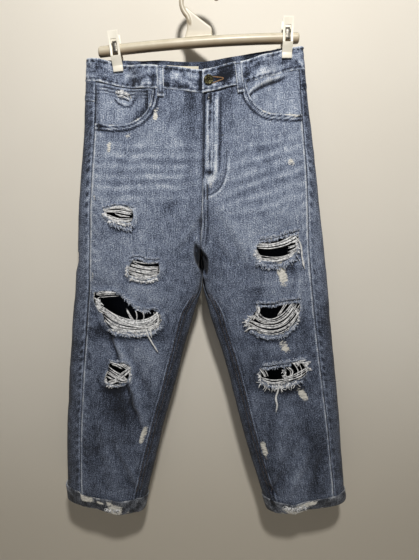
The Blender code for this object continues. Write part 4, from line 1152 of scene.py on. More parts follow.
# %% Back panels
def back_panel(leg):
    u, z = panel_net(leg, 1, ROW_TOP_Z, HEM_Z + 3.0)
    top_x = on_form(leg, 1, u[:1], z[:1])[0, :, 0]
    seam_z = yoke_line(top_x) - SEAM_GAP
    z = z[-1] + (z - z[-1]) * (seam_z - z[-1]) / (z[0] - z[-1])
    flat = on_form(leg, 1, u, z)
    x, y, width = flat[..., 0], flat[..., 1], panel_width(leg, 1, z)
    relief, wear, bared = plain_cloth(1, x, z, 111)
    seam_out, seam_wear = seam_shape(leg, 1, (1 - u) * width, u * width, z)
    middle_out, middle_wear = centre_seam(u * width, z)
    relief, wear = relief + seam_out + middle_out, wear - 0.03 + seam_wear + middle_wear
    below = seam_z[None, :] - z
    relief = relief - 0.6 * bell(below, 2.0)
    wear = stripes(wear, below, (-0.12, 0, 2.5), (0.06, 5, 3))
    wear = wear - (0.34 if leg == "right" else 0.22) * turned_side(y)
    if leg == "right":
        nick = np.exp(-(((z + 495) / 20) ** 4) - ((y + 5) / 8) ** 2)  # a worn place on the side seam
        relief = relief - 2.4 * nick * (1 + line_noise(z, 7, 113))
        bared = np.maximum(bared, 0.72 * nick * (1 + 0.8 * soft_noise(z, x, 4, 114)))
    points = meet_middle(leg, on_form(leg, 1, u, z, relief), u * width)
    made = cloth("back_panel_" + leg, points, wear, bared, (0, 1, 0), uv_shift=0.2 if leg == "left" else 0.3)
    return made


def back_yoke(leg):
    u, z = panel_net(leg, 1, ROW_TOP_Z, HEM_Z, -300.0)
    top_x = on_form(leg, 1, u[:1], z[:1])[0, :, 0]
    seam_z = yoke_line(top_x)
    share, u = np.meshgrid(np.linspace(0, 1, 26), np.linspace(0, 1, len(top_x)), indexing="ij")
    z = (z[0] - SEAM_GAP) * (1 - share) + seam_z * share
    flat = on_form(leg, 1, u, z)
    x, width = flat[..., 0], panel_width(leg, 1, z)
    relief = body_relief(1, x, z) + grain_relief(x, z, 113)
    wear, bared = body_wear_and_shade(1, x, z), np.zeros_like(x)
    above = z - seam_z[None, :]
    fell = ease((11.0 - above) / 1.5)
    blotch = line_noise(x, 9, 115)
    relief = relief + 0.7 * fell - 0.5 * bell(above, 1.6)
    wear = wear + 0.16 * bell(above - 1.2, 1.6) + fell * (0.10 * blotch - 0.04)
    wear = stripes(wear, above, (0.12, 11, 1.4), (-0.10, 13.5, 2)) - 0.26 * turned_side(flat[..., 1])
    seam_out, seam_wear = seam_shape(leg, 1, (1 - u) * width, u * width + 40, z)
    middle_out, middle_wear = centre_seam(u * width, z)
    points = meet_middle(leg, on_form(leg, 1, u, z, relief + seam_out + middle_out), u * width)
    made = cloth("back_yoke_" + leg, points, wear + seam_wear + middle_wear, bared, (0, 1, 0),
                 uv_shift=0.45 if leg == "left" else 0.52)
    return made


backs = {leg: (back_panel(leg), back_yoke(leg)) for leg in SIDE}

# %% [markdown]
# ## Waistband
# The waistband is one strip folded in half, so both of its edges are round and its seam allowances sit
# inside it. Washing shrinks the stitching more than the cloth, which puckers the band into dark hollows
# and pale bumps all the way round. It is made as a closed ring of outline points, swept round the waist.

# %% A swept band, closed along and across
def closed_band(name, rings, wear, bared, ends_meet, uv_shift, face_material=DENIM):
    """A band from rings of points: rings[i, j] is place j of the outline at station i."""
    stations, places = rings.shape[:2]
    around = np.append(0, np.cumsum(np.linalg.norm(np.diff(rings[stations // 2], axis=0), axis=1)))
    around = np.append(around, around[-1] + 1)
    run = np.append(0, np.cumsum(np.linalg.norm(np.diff(rings[:, 2], axis=0), axis=1)))
    run = np.append(run, run[-1] + 3)
    flat_cut = np.meshgrid(run, around, indexing="ij")
    made, _, _ = lay_grid(name, stations - (not ends_meet), places, rings, wear, bared, flat_cut, uv_shift)
    bpy.ops.object.mode_set(mode="EDIT")
    bpy.ops.mesh.select_all(action="SELECT")
    bpy.ops.mesh.remove_doubles(threshold=1e-6)
    if not ends_meet:
        bpy.ops.mesh.select_all(action="DESELECT")
        bpy.ops.mesh.select_mode(type="EDGE")
        bpy.ops.mesh.select_non_manifold()
        bpy.ops.mesh.edge_face_add()
    bpy.ops.mesh.select_all(action="SELECT")
    bpy.ops.mesh.normals_make_consistent(inside=False)
    bpy.ops.object.mode_set(mode="OBJECT")
    bpy.ops.object.shade_smooth_by_angle(angle=math.radians(60))
    made.data.materials.append(face_material)
    return hand_over(made, name)


# %% Places on the waistband
def band_place(leg, face, u, drop, out):
    """Points of the waistband: u across a panel, drop below its upper edge, out from the form."""
    top = np.full_like(u, ROW_TOP_Z)
    level = on_form(leg, face, u, top)
    return on_form(leg, face, u, row_height(leg, level[..., 0], level[..., 1], top) + BAND_HEIGHT - drop, out)


def across_to(leg, face, x, z=-150.0):
    """How far across a panel the cloth reaches x."""
    u = np.linspace(0, 1, 200)
    reached = on_form(leg, face, u, np.full_like(u, z))[:, 0] * SIDE[leg]
    upto = int(np.argmax(reached)) + 1
    return np.interp(np.asarray(x) * SIDE[leg], reached[:upto], u[:upto])


def band_lift(x):
    """The buttoned end rises over the end beneath it."""
    return 3.2 * ease((82.0 - x) / 26)


def band_route():
    """Stations round the waist as leg, face, u and whether they lie on the buttoned end."""
    hidden = np.linspace(across_to("left", -1, 48), across_to("left", -1, 14), 12)
    route = [("left", -1, u, False) for u in hidden]
    for leg, face, first, last in (("right", -1, 0, 1), ("right", 1, 1, 0), ("left", 1, 0, 1),
                                   ("left", -1, 1, 0)):
        count = int(panel_width(leg, face, -150.0) / CELL)
        for u in np.linspace(first, last, count)[0 if route[-1][0] != leg else 1 :]:
            route.append((leg, face, u, leg == "left" and face == -1))
    return route


# %% Waistband
BAND_OUTLINE = np.array(
    [(0.1, 0.2), (0.6, 1.2)] + [(0.6, d) for d in np.linspace(3, 37.4, 15)] + [(0.6, 39.2), (0.1, 40.0)]
    + [(-1.1, 40.0), (-1.8, 39.0)] + [(-1.8, d) for d in np.linspace(36, 4, 9)] + [(-1.8, 1.2), (-1.1, 0.1)]
)  # out of the form, and drop below the upper edge
BAND_BLOTCHES_AND_SHADOWS = (
    # x, drop, half_width, half_height, amount: darker and paler patches; the dark ones beside the front belt
    # loops are painted shadow of the loops
    (-57, 20, 6, 18, -0.24), (-82, 22, 5, 16, -0.20), (50, 17, 15, 15, -0.42), (4, 20, 6, 18, -0.20),
    (86, 20, 6, 16, -0.22), (-124, 27, 14, 5, -0.16), (-30, 29, 14, 5, -0.14), (112, 13, 14, 5, -0.14),
    (152, 22, 12, 5, -0.14), (35, 21, 9, 6, -0.50), (-185, 22, 8, 12, -0.12), (-30, 12, 16, 5, 0.10),
    (118, 27, 14, 5, 0.12),
)


def band_station(leg, face, u, lifted):
    """Points, worn tone with its painted shade, and baring of the band's outline at one station."""
    out, drop = BAND_OUTLINE.T
    us = np.full(len(out), u)
    outer = out > -0.5
    flat = band_place(leg, face, us, drop, out)
    x, z = flat[:, 0], flat[:, 2]
    slant = x * -face + 0.5 * drop
    bumps = 0.8 * soft_noise(slant * 0.42, drop * 0.9 + 300 * (face + 1), 5.5, 121)
    bumps = bumps + 0.4 * soft_noise(slant, drop, 17, 122)
    edge = bell(drop - 4, 4) + bell(drop - 35.5, 4)
    rope = np.sin(slant / 11 * 2 * math.pi + 2.5 * line_noise(slant, 26, 123))
    relief = (0.9 * bumps + 0.45 * edge * rope) * outer + 0.5 * body_relief(face, x, z)
    if not lifted and face == -1 and leg == "left":
        relief = 0 * relief  # the hidden end lies flat
    points = band_place(leg, face, us, drop, out + relief + (band_lift(x) if lifted else 0.0))
    wear = 0.50 + 0.19 * bumps + 0.16 * edge * rope + 0.10 * soft_noise(x, z, 3.4, 124)
    wear = stripes(wear, drop, (0.26, 0, 1.8), (-0.20, 5.5, 1.4), (-0.22, 35.5, 1.6), (0.20, 38.8, 1.6))
    if face == -1:
        wear = wear + ease((drop - 1) / 2) * stripes(0, x, (0.34, 8.0, 1.8), (-0.45, 4.2, 1.8))
        # Darker and paler patches, with painted shadow beside the front loops.
        for bx, bd, half_x, half_drop, amount in BAND_BLOTCHES_AND_SHADOWS:
            wear = wear + amount * spot((x - bx) / half_x, (drop - bd) / half_drop, 4)
    inner_wear = 0.27 + 0.15 * soft_noise(x, drop * 0.5, 7, 126)
    bare = 0.32 * bell(drop - 0.3, 1.0) * (1 + line_noise(x, 6, 125))
    return points, np.where(outer, wear, inner_wear), np.where(outer, bare, 0.0)


route = band_route()
rings, wears, bares = (np.array(values) for values in zip(*(band_station(*station) for station in route)))
waistband = closed_band("waistband", rings, wears, bares, False, 0.6)
print("the waistband has", len(route), "stations")

# %% [markdown]
# ## Pieces laid on the panels and behind them
# A patch pocket, a pocket facing and a coin pocket are pieces of denim that follow the panel they are
# sewn to. Each is a grid on the form, held a little in or out, and cut to its own outline.

# %% Patch of denim
PATCH_REACH = 0.55 * CELL


def patch(name, leg, face, corners, out, uv_shift, shape=None, openings=(), **materials):
    """A piece that lies on the form, cut to corners in x and z; shape adds relief and wear."""
    corners = np.asarray(corners, float)
    (low_x, low_z), (high_x, high_z) = corners.min(0) - 6, corners.max(0) + 6
    middle_z = (low_z + high_z) / 2
    ends = sorted(float(across_to(leg, face, x, middle_z)) for x in (low_x, high_x))
    ends = [max(0.0, ends[0] - 0.03), min(1.0, ends[1] + 0.03)]
    width = (ends[1] - ends[0]) * panel_width(leg, face, middle_z)
    columns, rows = max(4, int(width / CELL)), max(4, int((high_z - low_z) / CELL))
    z, u = np.meshgrid(np.linspace(high_z, low_z, rows), np.linspace(*ends, columns), indexing="ij")
    x = on_form(leg, face, u, z)[..., 0]
    relief = body_relief(face, x, z) + grain_relief(x, z, 131)
    wear, bared = body_wear_and_shade(face, x, z), np.zeros_like(x)
    if shape:
        gap = to_outline(pairs(x, z), corners)[1].reshape(x.shape)
        relief, wear, bared = shape(x, z, gap, relief, wear, bared)
    points = on_form(leg, face, u, z, relief + out)
    points[..., 1] *= -face  # cut_away leaves whatever lies well behind alone
    points, gone = cut_away(points, corners, PATCH_REACH)
    points[..., 1] *= -face
    lost = ~gone
    for opening in openings:
        points, gone = cut_away(points, opening, PATCH_REACH)
        lost |= gone
    return cloth(name, points, wear, bared, (0, face, 0), gone=lost, thickness=1.0, uv_shift=uv_shift,
                 **materials)


# %% Pocket facings
RIGHT_FACING = ((-72, -160), (-72, -262), (-100, -290), (-193, -296), (-198, -158))
LEFT_FACING = ((78, -142), (78, -262), (104, -284), (200, -284), (197, -136))
LEFT_FOLD = ((88, 100, 116, 140, 168), (-196, -183, -174, -163, -150))  # x and z of its slanting fold
COIN_TOP = ((-189, -174, -148, -120, -92), (-170, -171, -177, -180, -182))  # x, and z of its mouth
COIN_POCKET = (*zip(*COIN_TOP), (-96, -264), (-189, -262))
COIN_TEAR = ragged(((-152, -184), (-144, -182), (-132, -187), (-127, -195), (-131, -202), (-140, -200),
                    (-149, -193)),
                   0.8, 140)


def facing_shape(x, z, gap, relief, wear, bared):
    """Sags into the pocket's mouth, pale in its middle and dark beside its seams."""
    under_band = waist_line(x, -1, BAND_HEIGHT) - z
    relief = relief - 0.5 * bell(gap, 30) + 1.5 * ease(1 - under_band / 14)
    wear = wear + 0.03 - 0.10 * bell(gap, 9) + 0.04 * soft_noise(x, z * 0.2, 7, 141)
    return relief, wear, bared


def left_facing_shape(x, z, gap, relief, wear, bared):
    """The left one also has a deep slanting fold that starts under the waistband."""
    relief, wear, bared = facing_shape(x, z, gap, relief, wear, bared)
    below = np.interp(x, *LEFT_FOLD) - z
    run = ease((x - 84) / 8) * ease((172 - x) / 30)
    relief = relief + run * stripes(0, below, (2.6, -4, 5), (-2.2, 3.5, 3.5))
    # The fold is paler along its ridge and has a dark painted shadow below it.
    wear = wear + run * stripes(0, below, (0.22, -3, 3.5), (-0.40, 3.0, 3.0))
    bared = np.maximum(bared, run * 0.4 * bell(below + 1.5, 1.5) * (1 + soft_noise(x, z, 5, 142)))
    return relief, wear, bared


def coin_shape(x, z, gap, relief, wear, bared):
    """A hemmed mouth: a pale edge with two sunk lines of stitches below it, and a small tear."""
    below = np.interp(x, *COIN_TOP) - z
    wave = line_noise(x, 8, 143)
    relief = stripes(relief + 1.9 * ease(1 - below / 12), below, (-0.35, 3.2, 1.1), (-0.35, 9.0, 1.1))
    wear = stripes(wear + 0.03, below, (0.20 + 0.12 * wave, 0, 1.6), (-0.30, 3.4, 1.4), (-0.30, 9, 1.5),
                   (0.20, 6.2, 1.5), (-0.16, 14.5, 1.4), (0.12, 11.8, 1.3))
    # Painted shadow: the coin pocket is darker under the front pocket's mouth edge, on its side towards the
    # fly.
    mouth_edge_shadow = bell(np.abs(line_gap(MOUTH_EDGES["right"], x, z)[0]), 11)
    wear = wear - 0.30 * mouth_edge_shadow * ease((x + 142) / 30) * ease((z + 248) / 14) - 0.10 * bell(gap - 2, 3)
    wear = wear + 0.10 * wave * bell(below - 5.5, 2.5) + 0.05 * soft_noise(x, z * 0.2, 6, 144)
    tear_gap = to_outline(pairs(x, z), COIN_TEAR)[1].reshape(x.shape)
    flap = bell(tear_gap - 3.5, 3.4) * (z < -194)
    # Painted shadow: a dark line below the tear's raised flap.
    wear = wear + 0.10 * flap - 0.36 * bell(tear_gap - 8.0, 1.6) * (z < -195)
    bared = np.maximum(bared, 0.85 * bell(tear_gap,
                                          3.0) * (0.7 + 0.5 * soft_noise(x, z, 4, 145)) * (z > -194))
    return relief + 1.6 * flap, wear, bared


patches = [
    patch("pocket_facing_right", "right", -1, RIGHT_FACING, -3.2, 0.7, facing_shape),
    patch("pocket_facing_left", "left", -1, LEFT_FACING, -1.7, 0.75, left_facing_shape),
    patch("coin_pocket", "right", -1, COIN_POCKET, -1.7, 0.8, coin_shape, openings=[COIN_TEAR]),
]

# %% Back pockets
POCKET_MIDDLES = {"right": -110, "left": 118}


def pocket_shape(x, z, gap, relief, wear, bared):
    """A patch pocket: folded edges stand up, and the cloth inside their stitching is palest."""
    mouth = -258 - z
    blotch = soft_noise(x + z, z - x, 8, 151)
    relief = stripes(relief + 0.5 * ease(1 - gap / 7), gap, (-0.4, 2.4, 0.9), (-0.3, 8.5, 0.9))
    relief = relief + 0.6 * ease(1 - mouth / 20) - 0.3 * bell(mouth - 18, 1.2)
    wear = stripes(wear + 0.02, gap, (0.20, 0, 1.6), (-0.12, 3.0, 1.3), (0.09 * blotch, 5.5, 3),
                   (-0.10, 9.2, 1.5))
    wear = stripes(wear, mouth, (0.10, 17, 1.5), (-0.08, 20, 2))
    bared = np.maximum(bared, 0.35 * bell(gap, 1.0) * (1 + blotch))
    return relief, wear, bared


for i, (leg, middle) in enumerate(POCKET_MIDDLES.items()):
    corners = [(middle - 72, -258), (middle + 72, -258), (middle + 62, -370), (middle, -394),
               (middle - 62, -370)]
    patches.append(patch("back_pocket_" + leg, leg, 1, corners, 1.9, 0.86 + 0.05 * i, pocket_shape))

# %% Fly shield and zip tape
FLY_SHIELD = ((12, -186), (44, -186), (44, -320), (30, -352), (12, -358))
FLY_ZIP = ((13, -190), (34, -190), (34, -338), (13, -338))
ALL_TAPE = {"face_material": TAPE, "inner_material": TAPE, "edge_material": TAPE}
patches += [
    patch("fly_shield", "left", -1, FLY_SHIELD, -3.2, 0.95),
    patch("fly_zip", "left", -1, FLY_ZIP, -1.7, 0.97, **ALL_TAPE),
]

# %% [markdown]
# ## Cuffs
# Each hem is turned up once. The outer layer of the turn is the wrong side of the seam allowance and the
# cut edge, so it is greyer, and its lower edge has rubbed through to white cotton in places. A cuff is
# swept round the leg as one closed band, with its fold at the bottom and its raw edge at the top.

# %% Cuffs
CUFF_OUTLINE = np.array([
    # out of the leg's face, height above the turned edge
    (0.7, 31.0), (1.0, 31.9), (1.6, 32.2), (2.3, 31.8), (2.8, 30.5), (3.1, 27.5), (3.2, 24.0), (3.2, 20.0),
    (3.2, 16.0), (3.2, 12.0), (3.2, 8.5), (3.1, 5.5), (2.9, 3.0), (2.4, 1.0), (1.6, 0.0), (0.4, -0.2),
    (-0.8, 0.0), (-1.6, 0.8), (-1.9, 1.8), (-1.8, 2.4), (-0.6, 2.6), (0.7, 2.7), (0.8, 10.0), (0.8, 20.0),
])
CUFF_HEIGHT = 32
CUFF_WORN = {
    # x, height, half_width, half_height, strength, on the front
    "right": ((-247, 24, 17, 8, 1.0), (-216, 21, 9, 4, 0.8), (-185, 12, 15, 13, 1.0), (-198, 24, 9, 5, 0.7),
              (-262, 28, 6, 4, 0.7), (-160, 5, 10, 3, 0.5), (-236, 2, 24, 2, 0.5)),
    "left": ((222, 19, 22, 9, 1.0), (196, 12, 13, 8, 0.9), (242, 24, 14, 7, 0.95), (208, 3, 20, 4, 0.8),
             (180, 3, 10, 3, 0.5), (262, 3, 12, 2, 0.4)),
}
CUFF_FIT = {
    # x, then how far the turned edge hangs below the hem's line and how high the turn is at each
    "right": ((-290, -268, -226, -179, -150, -120), (-2, -2, -2, 7, 2, -2), (36, 33, 26, 33, 32, 36)),
    "left": ((150, 178, 204, 231, 270, 310, 330), (0, 1, 5, -3, 0, 1, 1), (34, 26, 22, 19, 22, 24, 27)),
}
CUFF_KNOTS = {"right": -266, "left": 303}  # x of the thick crossing of the turn and the side seam
CUFF_TUCKS = {"right": -131, "left": 160}  # x of the fold beside the inseam


def cuff_station(leg, face, u):
    """Points, worn tone with its painted shade, and baring of the cuff's outline at one place round the leg.
    """
    out, rise = CUFF_OUTLINE.T
    us, level = np.full(len(out), u), np.full(len(out), HEM_Z)
    flat = on_form(leg, face, us, level)
    hem = row_height(leg, flat[:, 0], flat[:, 1], level)
    x = flat[:, 0]
    run = x * face
    turned = out > 1.2
    sag = 1.5 * line_noise(run, 38, 161, 7) + 0.8 * line_noise(run, 12, 162)
    rope = soft_noise(run + 0.8 * rise, rise * 0.4, 10, 163)
    places, drops, heights = CUFF_FIT[leg]
    hang, high = np.interp(x, places, drops), np.interp(x, places, heights) / CUFF_HEIGHT
    knot = bell(x - CUFF_KNOTS[leg], 6) * (face == -1)
    tuck = bell(x - CUFF_TUCKS[leg] + 0.3 * (rise - CUFF_HEIGHT) * SIDE[leg], 4.5)
    tuck = tuck * ease((rise - 6) / 18) * (face == -1)
    relief = (0.8 * soft_noise(run, rise + 80, 21, 164) + 0.5 * rope + 0.9 * knot - 3.0 * tuck) * turned
    loose = 1.2 * ease((rise - 20) / 12) * line_noise(run, 30, 165, 3) * turned
    z = hem - hang + rise * high + sag * (0.6 + 0.4 * rise / CUFF_HEIGHT)
    points = on_form(leg, face, us, z, out + relief + np.maximum(loose, -0.4))
    wear = 0.36 + 0.05 * soft_noise(x, rise, 3, 172) + 0.12 * rope + 0.08 * soft_noise(x, rise, 5, 166)
    wear = stripes(wear, rise, (0.14, CUFF_HEIGHT, 1.6), (0.10, 0, 2.0))
    # The tuck beside the inseam is painted darker: painted shade in its fold.
    wear = wear + 0.07 * soft_noise(run, rise, 24, 167) - 0.34 * knot - 0.34 * tuck
    wear = wear + 0.20 * bell(x - CUFF_KNOTS[leg] - 7, 1.5) * (face == -1)
    bare = 0.30 * bell(rise - CUFF_HEIGHT, 1.2) * (1 + line_noise(run, 5, 168))
    bare = bare + 0.35 * bell(rise, 1.2) * (1 + line_noise(run, 7, 169))
    weave = 0.30 * soft_noise(x * 0.35, rise, 1.7, 170) + 0.25 * soft_noise(x, rise * 0.3, 4, 171)
    for wx, wr, half_width, half_height, strength in CUFF_WORN[leg]:
        worn = spot((x - wx) / half_width, (rise - wr) / half_height, 3)
        shown = strength * worn * (1.0 + weave) if face == -1 else 0.5 * strength * worn * (rise < 6)
        bare = np.maximum(bare, shown)
    outer = (out > 1.9) & (rise > 0.5) | (rise > 30)
    return points, np.where(outer, wear, 0.25), np.where(out > 1.0, bare, 0.0)


def cuff(leg):
    stations = []
    for face, first, last in ((-1, 0, 1), (1, 1, 0)):
        count = int(panel_width(leg, face, HEM_Z) / CELL)
        stations += [(face, u) for u in np.linspace(first, last, count)[1:-1 if face == -1 else None]]
    rings, wears, bares = (np.array(values) for values in zip(*(cuff_station(leg,
                                                                             *place) for place in stations)))
    made = closed_band("cuff_" + leg, rings, wears, bares, True, 1.1 if leg == "left" else 1.2, TURNED)


for leg in SIDE:
    cuff(leg)

# %% [markdown]
# ## Belt loops
# A belt loop is a narrow strip folded in three. It is sewn down at its foot and at its top edge and stands
# off the band between, and its two folded edges wear to pale lines.

# %% Belt loops
LOOPS = (
    # name, leg, face, x at the top, x at the foot
    ("front_right", "right", -1, -69, -70), ("front_left", "left", -1, 71, 77),
    ("back_right", "right", 1, -184, -187),
    ("back_left", "left", 1, 184, 188), ("back_centre", "right", 1, -3, -3),
)
LOOP_WIDTH = 12.0
LOOP_LENGTH = 54
LOOP_STAND = np.array(((1, 0.8), (9, 2.0), (20, 2.6), (32, 2.0), (41, 0.9), (54, 0.5)), float)


def loop_x(top_x, foot_x, drop):
    return top_x + (foot_x - top_x) * drop / LOOP_LENGTH


def belt_loop(name, leg, face, top_x, foot_x, seed):
    drop, across = np.meshgrid(np.linspace(0.6, 54.5, 30), np.linspace(-1, 1, 9), indexing="ij")
    edge = np.abs(across)
    x = loop_x(top_x, foot_x, drop) + across * LOOP_WIDTH / 2
    x = x + 0.5 * line_noise(drop, 17, 171, seed)
    u = across_to(leg, face, x.ravel()).reshape(x.shape)
    out = along(LOOP_STAND, 1, drop) + 0.6 + 1.5 - 0.7 * edge**4
    out = out - 0.5 * bell(edge - 0.45, 0.14) + 0.35 * soft_noise(drop, across * 3 + seed, 6, 172)
    out = stripes(out, drop, (-0.9, 47, 1.6), (0.6, 51, 2.0))
    if name == "front_left":
        out = out + band_lift(x)
    wear = stripes(0.56, edge, (0.22, 0.95, 0.18), (-0.16, 0.5, 0.14))
    wear = wear + 0.12 * soft_noise(drop, across * 6 + seed, 7, 173)
    wear = stripes(wear, drop, (-0.22, 47, 1.8), (0.1, 52, 2))
    bared = 0.34 * bell(edge - 1.0, 0.12) * (1 + soft_noise(drop, across * 5, 7, 174))
    points = band_place(leg, face, u, drop, out)
    made = cloth("belt_loop_" + name, points, wear, bared, (0, face, 0), thickness=1.4,
                 uv_shift=1.3 + 0.05 * seed)


for i, loop in enumerate(LOOPS):
    belt_loop(*loop, i)

# %% Inner label: a plain strip of tape inside the back of the waistband
drop, u = np.meshgrid(np.linspace(8, 28, 10), across_to("right", 1, np.linspace(-62, -1, 30)), indexing="ij")
label_points = band_place("right", 1, u, drop, -2.6 + 0.15 * soft_noise(u * 200, drop, 9, 175))
label = cloth("inner_label", label_points, u * 0 + 0.5, u * 0, (0, -1, 0), thickness=0.6, **ALL_TAPE)

# %% [markdown]
# ## Yarns in the holes
# Denim is woven from blue warp yarns that run down the leg and white weft yarns that run across it. Where
# the warp has worn away, the white weft is left spanning the hole. It sags into a hammock, bunches up and
# breaks into loose ends, while the cut warp stands up as a short blue fringe. Each yarn is one smooth line
# with a round bevel. The yarns of a hole are converted together into one mesh.

# %% Lines into yarns
def yarns(name, lines, thick, material, seed, sides=1):
    """Yarns along lines of points in millimetres, thinner towards their two ends, joined in one mesh."""
    rng = np.random.default_rng(seed)
    data = bpy.data.curves.new(name, "CURVE")
    data.dimensions = "3D"
    data.bevel_depth = thick / 2 * MM
    data.bevel_resolution = sides
    data.use_fill_caps = True
    for line in lines:
        spline = data.splines.new("POLY")
        spline.points.add(len(line) - 1)
        body = rng.uniform(0.65, 1.35)
        for i, (point, place) in enumerate(zip(spline.points, line)):
            t = i / (len(line) - 1)
            point.co = (*(np.asarray(place) * MM), 1.0)
            point.radius = body * (0.45 + 0.55 * min(1.0, 6 * t, 6 * (1 - t))) * rng.uniform(0.85, 1.15)
    made = bpy.data.objects.new(name, data)
    bpy.context.collection.objects.link(made)
    bpy.ops.object.select_all(action="DESELECT")
    made.select_set(True)
    bpy.context.view_layer.objects.active = made
    bpy.ops.object.convert(target="MESH")
    made = bpy.context.object
    made.name = name
    bpy.ops.object.shade_smooth()
    made.data.materials.clear()
    made.data.materials.append(material)
    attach(made, "root")
    return made


def on_front(leg, x, z, out):
    """Places on the front of a leg, from x and z and a height above the cloth."""
    x, z = np.asarray(x, float), np.asarray(z, float)
    low, high = np.zeros(x.shape), np.ones(x.shape)
    for _ in range(16):
        middle = (low + high) / 2
        short = on_form(leg, -1, middle, z)[..., 0] * SIDE[leg] < x * SIDE[leg]
        low, high = np.where(short, middle, low), np.where(short, high, middle)
    return on_form(leg, -1, (low + high) / 2, z, body_relief(-1, x, z) + out)


def strands(leg, upper, lower, count, seed, rough=1.0, out=1.0, bulge=0.0, ragged_ends=3.0):
    """Yarns side by side, that fill the space between an upper and a lower line."""
    rng = np.random.default_rng(seed)
    top, bottom = (rounded(np.asarray(line, float), 1.0) for line in (upper, lower))
    made = []
    count = max(2, round(0.64 * count))
    for i in range(count):
        share = (i + rng.uniform(0.15, 0.85)) / count
        share += 0.55 / count * math.sin(2 * math.pi * i / 3.4 + seed)  # yarns cling in twos and threes
        start, end = (rng.uniform(-ragged_ends, ragged_ends) for _ in range(2))
        t = np.linspace(0, 1, 15)
        route = []
        for line in (top, bottom):
            length = len(line) - 1
            at = np.clip(t * length, 0, length)
            route.append(np.column_stack([np.interp(at, np.arange(len(line)), line[:, k]) for k in (0, 1)]))
        middle = route[0] * (1 - share) + route[1] * share
        step = middle[-1] - middle[0]
        step = step / max(1e-6, np.hypot(*step))
        middle = middle + step * (start * (1 - t) ** 6 + end * t**6)[:, None]
        drift = rng.uniform(-1, 1, 2) * rough
        wave = rough * 0.5 * np.sin(t * rng.uniform(5, 10) + rng.uniform(0, 6))
        middle[:, 1] += (drift[0] * (1 - t) + drift[1] * t + wave) * np.minimum(1, 4 * t * (1 - t) + 0.4)
        lift = out + bulge * 4 * t * (1 - t) + rng.uniform(-0.5, 0.9) * rough * 0.6
        made.append(on_front(leg, middle[:, 0], middle[:, 1], lift))
    return made


def fringe(leg, line, length, pitch, seed, lean=(0, -1), out=0.8, curl=0.5):
    """Short loose ends that stand out of a worn edge."""
    rng = np.random.default_rng(seed)
    edge = rounded(np.asarray(line, float), pitch)
    made = []
    for x, z in edge:
        for _ in range(2):
            reach = 1.2 * length * rng.uniform(0.35, 1.0)
            turn = math.atan2(lean[1], lean[0]) + rng.normal(0, 0.45)
            bend = rng.normal(0, curl)
            place, route, heading = np.array([x + rng.uniform(-1, 1), z + rng.uniform(-0.6, 0.6)]), [], turn
            for _ in range(5):
                route.append(place.copy())
                place = place + reach / 4 * np.array([math.cos(heading), math.sin(heading)])
                heading += bend
            route = np.array(route)
            lift = out + np.linspace(0, 1, 5) ** 1.3 * rng.uniform(-0.2, 2.4)
            made.append(on_front(leg, route[:, 0], route[:, 1], lift))
    return made


def loose_end(leg, line, seed, out):
    """One long broken yarn, hanging down over the cloth, with a thinner one twisted beside it."""
    route = rounded(np.asarray(line, float), 3.0)
    run = np.arange(len(route)) * 3.0
    sway = np.column_stack([1.1 * soft_noise(run, run * 0 + seed, 8, seed),
                            0.4 * soft_noise(run, run * 0, 6, seed)])
    lift = out + 1.2 + 1.0 * np.abs(soft_noise(run, run * 0 + 3, 14, seed + 1))
    return [
        on_front(leg, *(route + sway).T, lift),
        on_front(leg, *(route - 0.7 * sway + 0.5)[:-2].T, lift[:-2] + 0.3),
    ]


# %% [markdown]
# Each hole gets its own yarns: bands where the weft still lies close, hammocks where it sags, tufts
# where it broke. A line is a few places in x and z, followed by how many yarns fill the band under it.

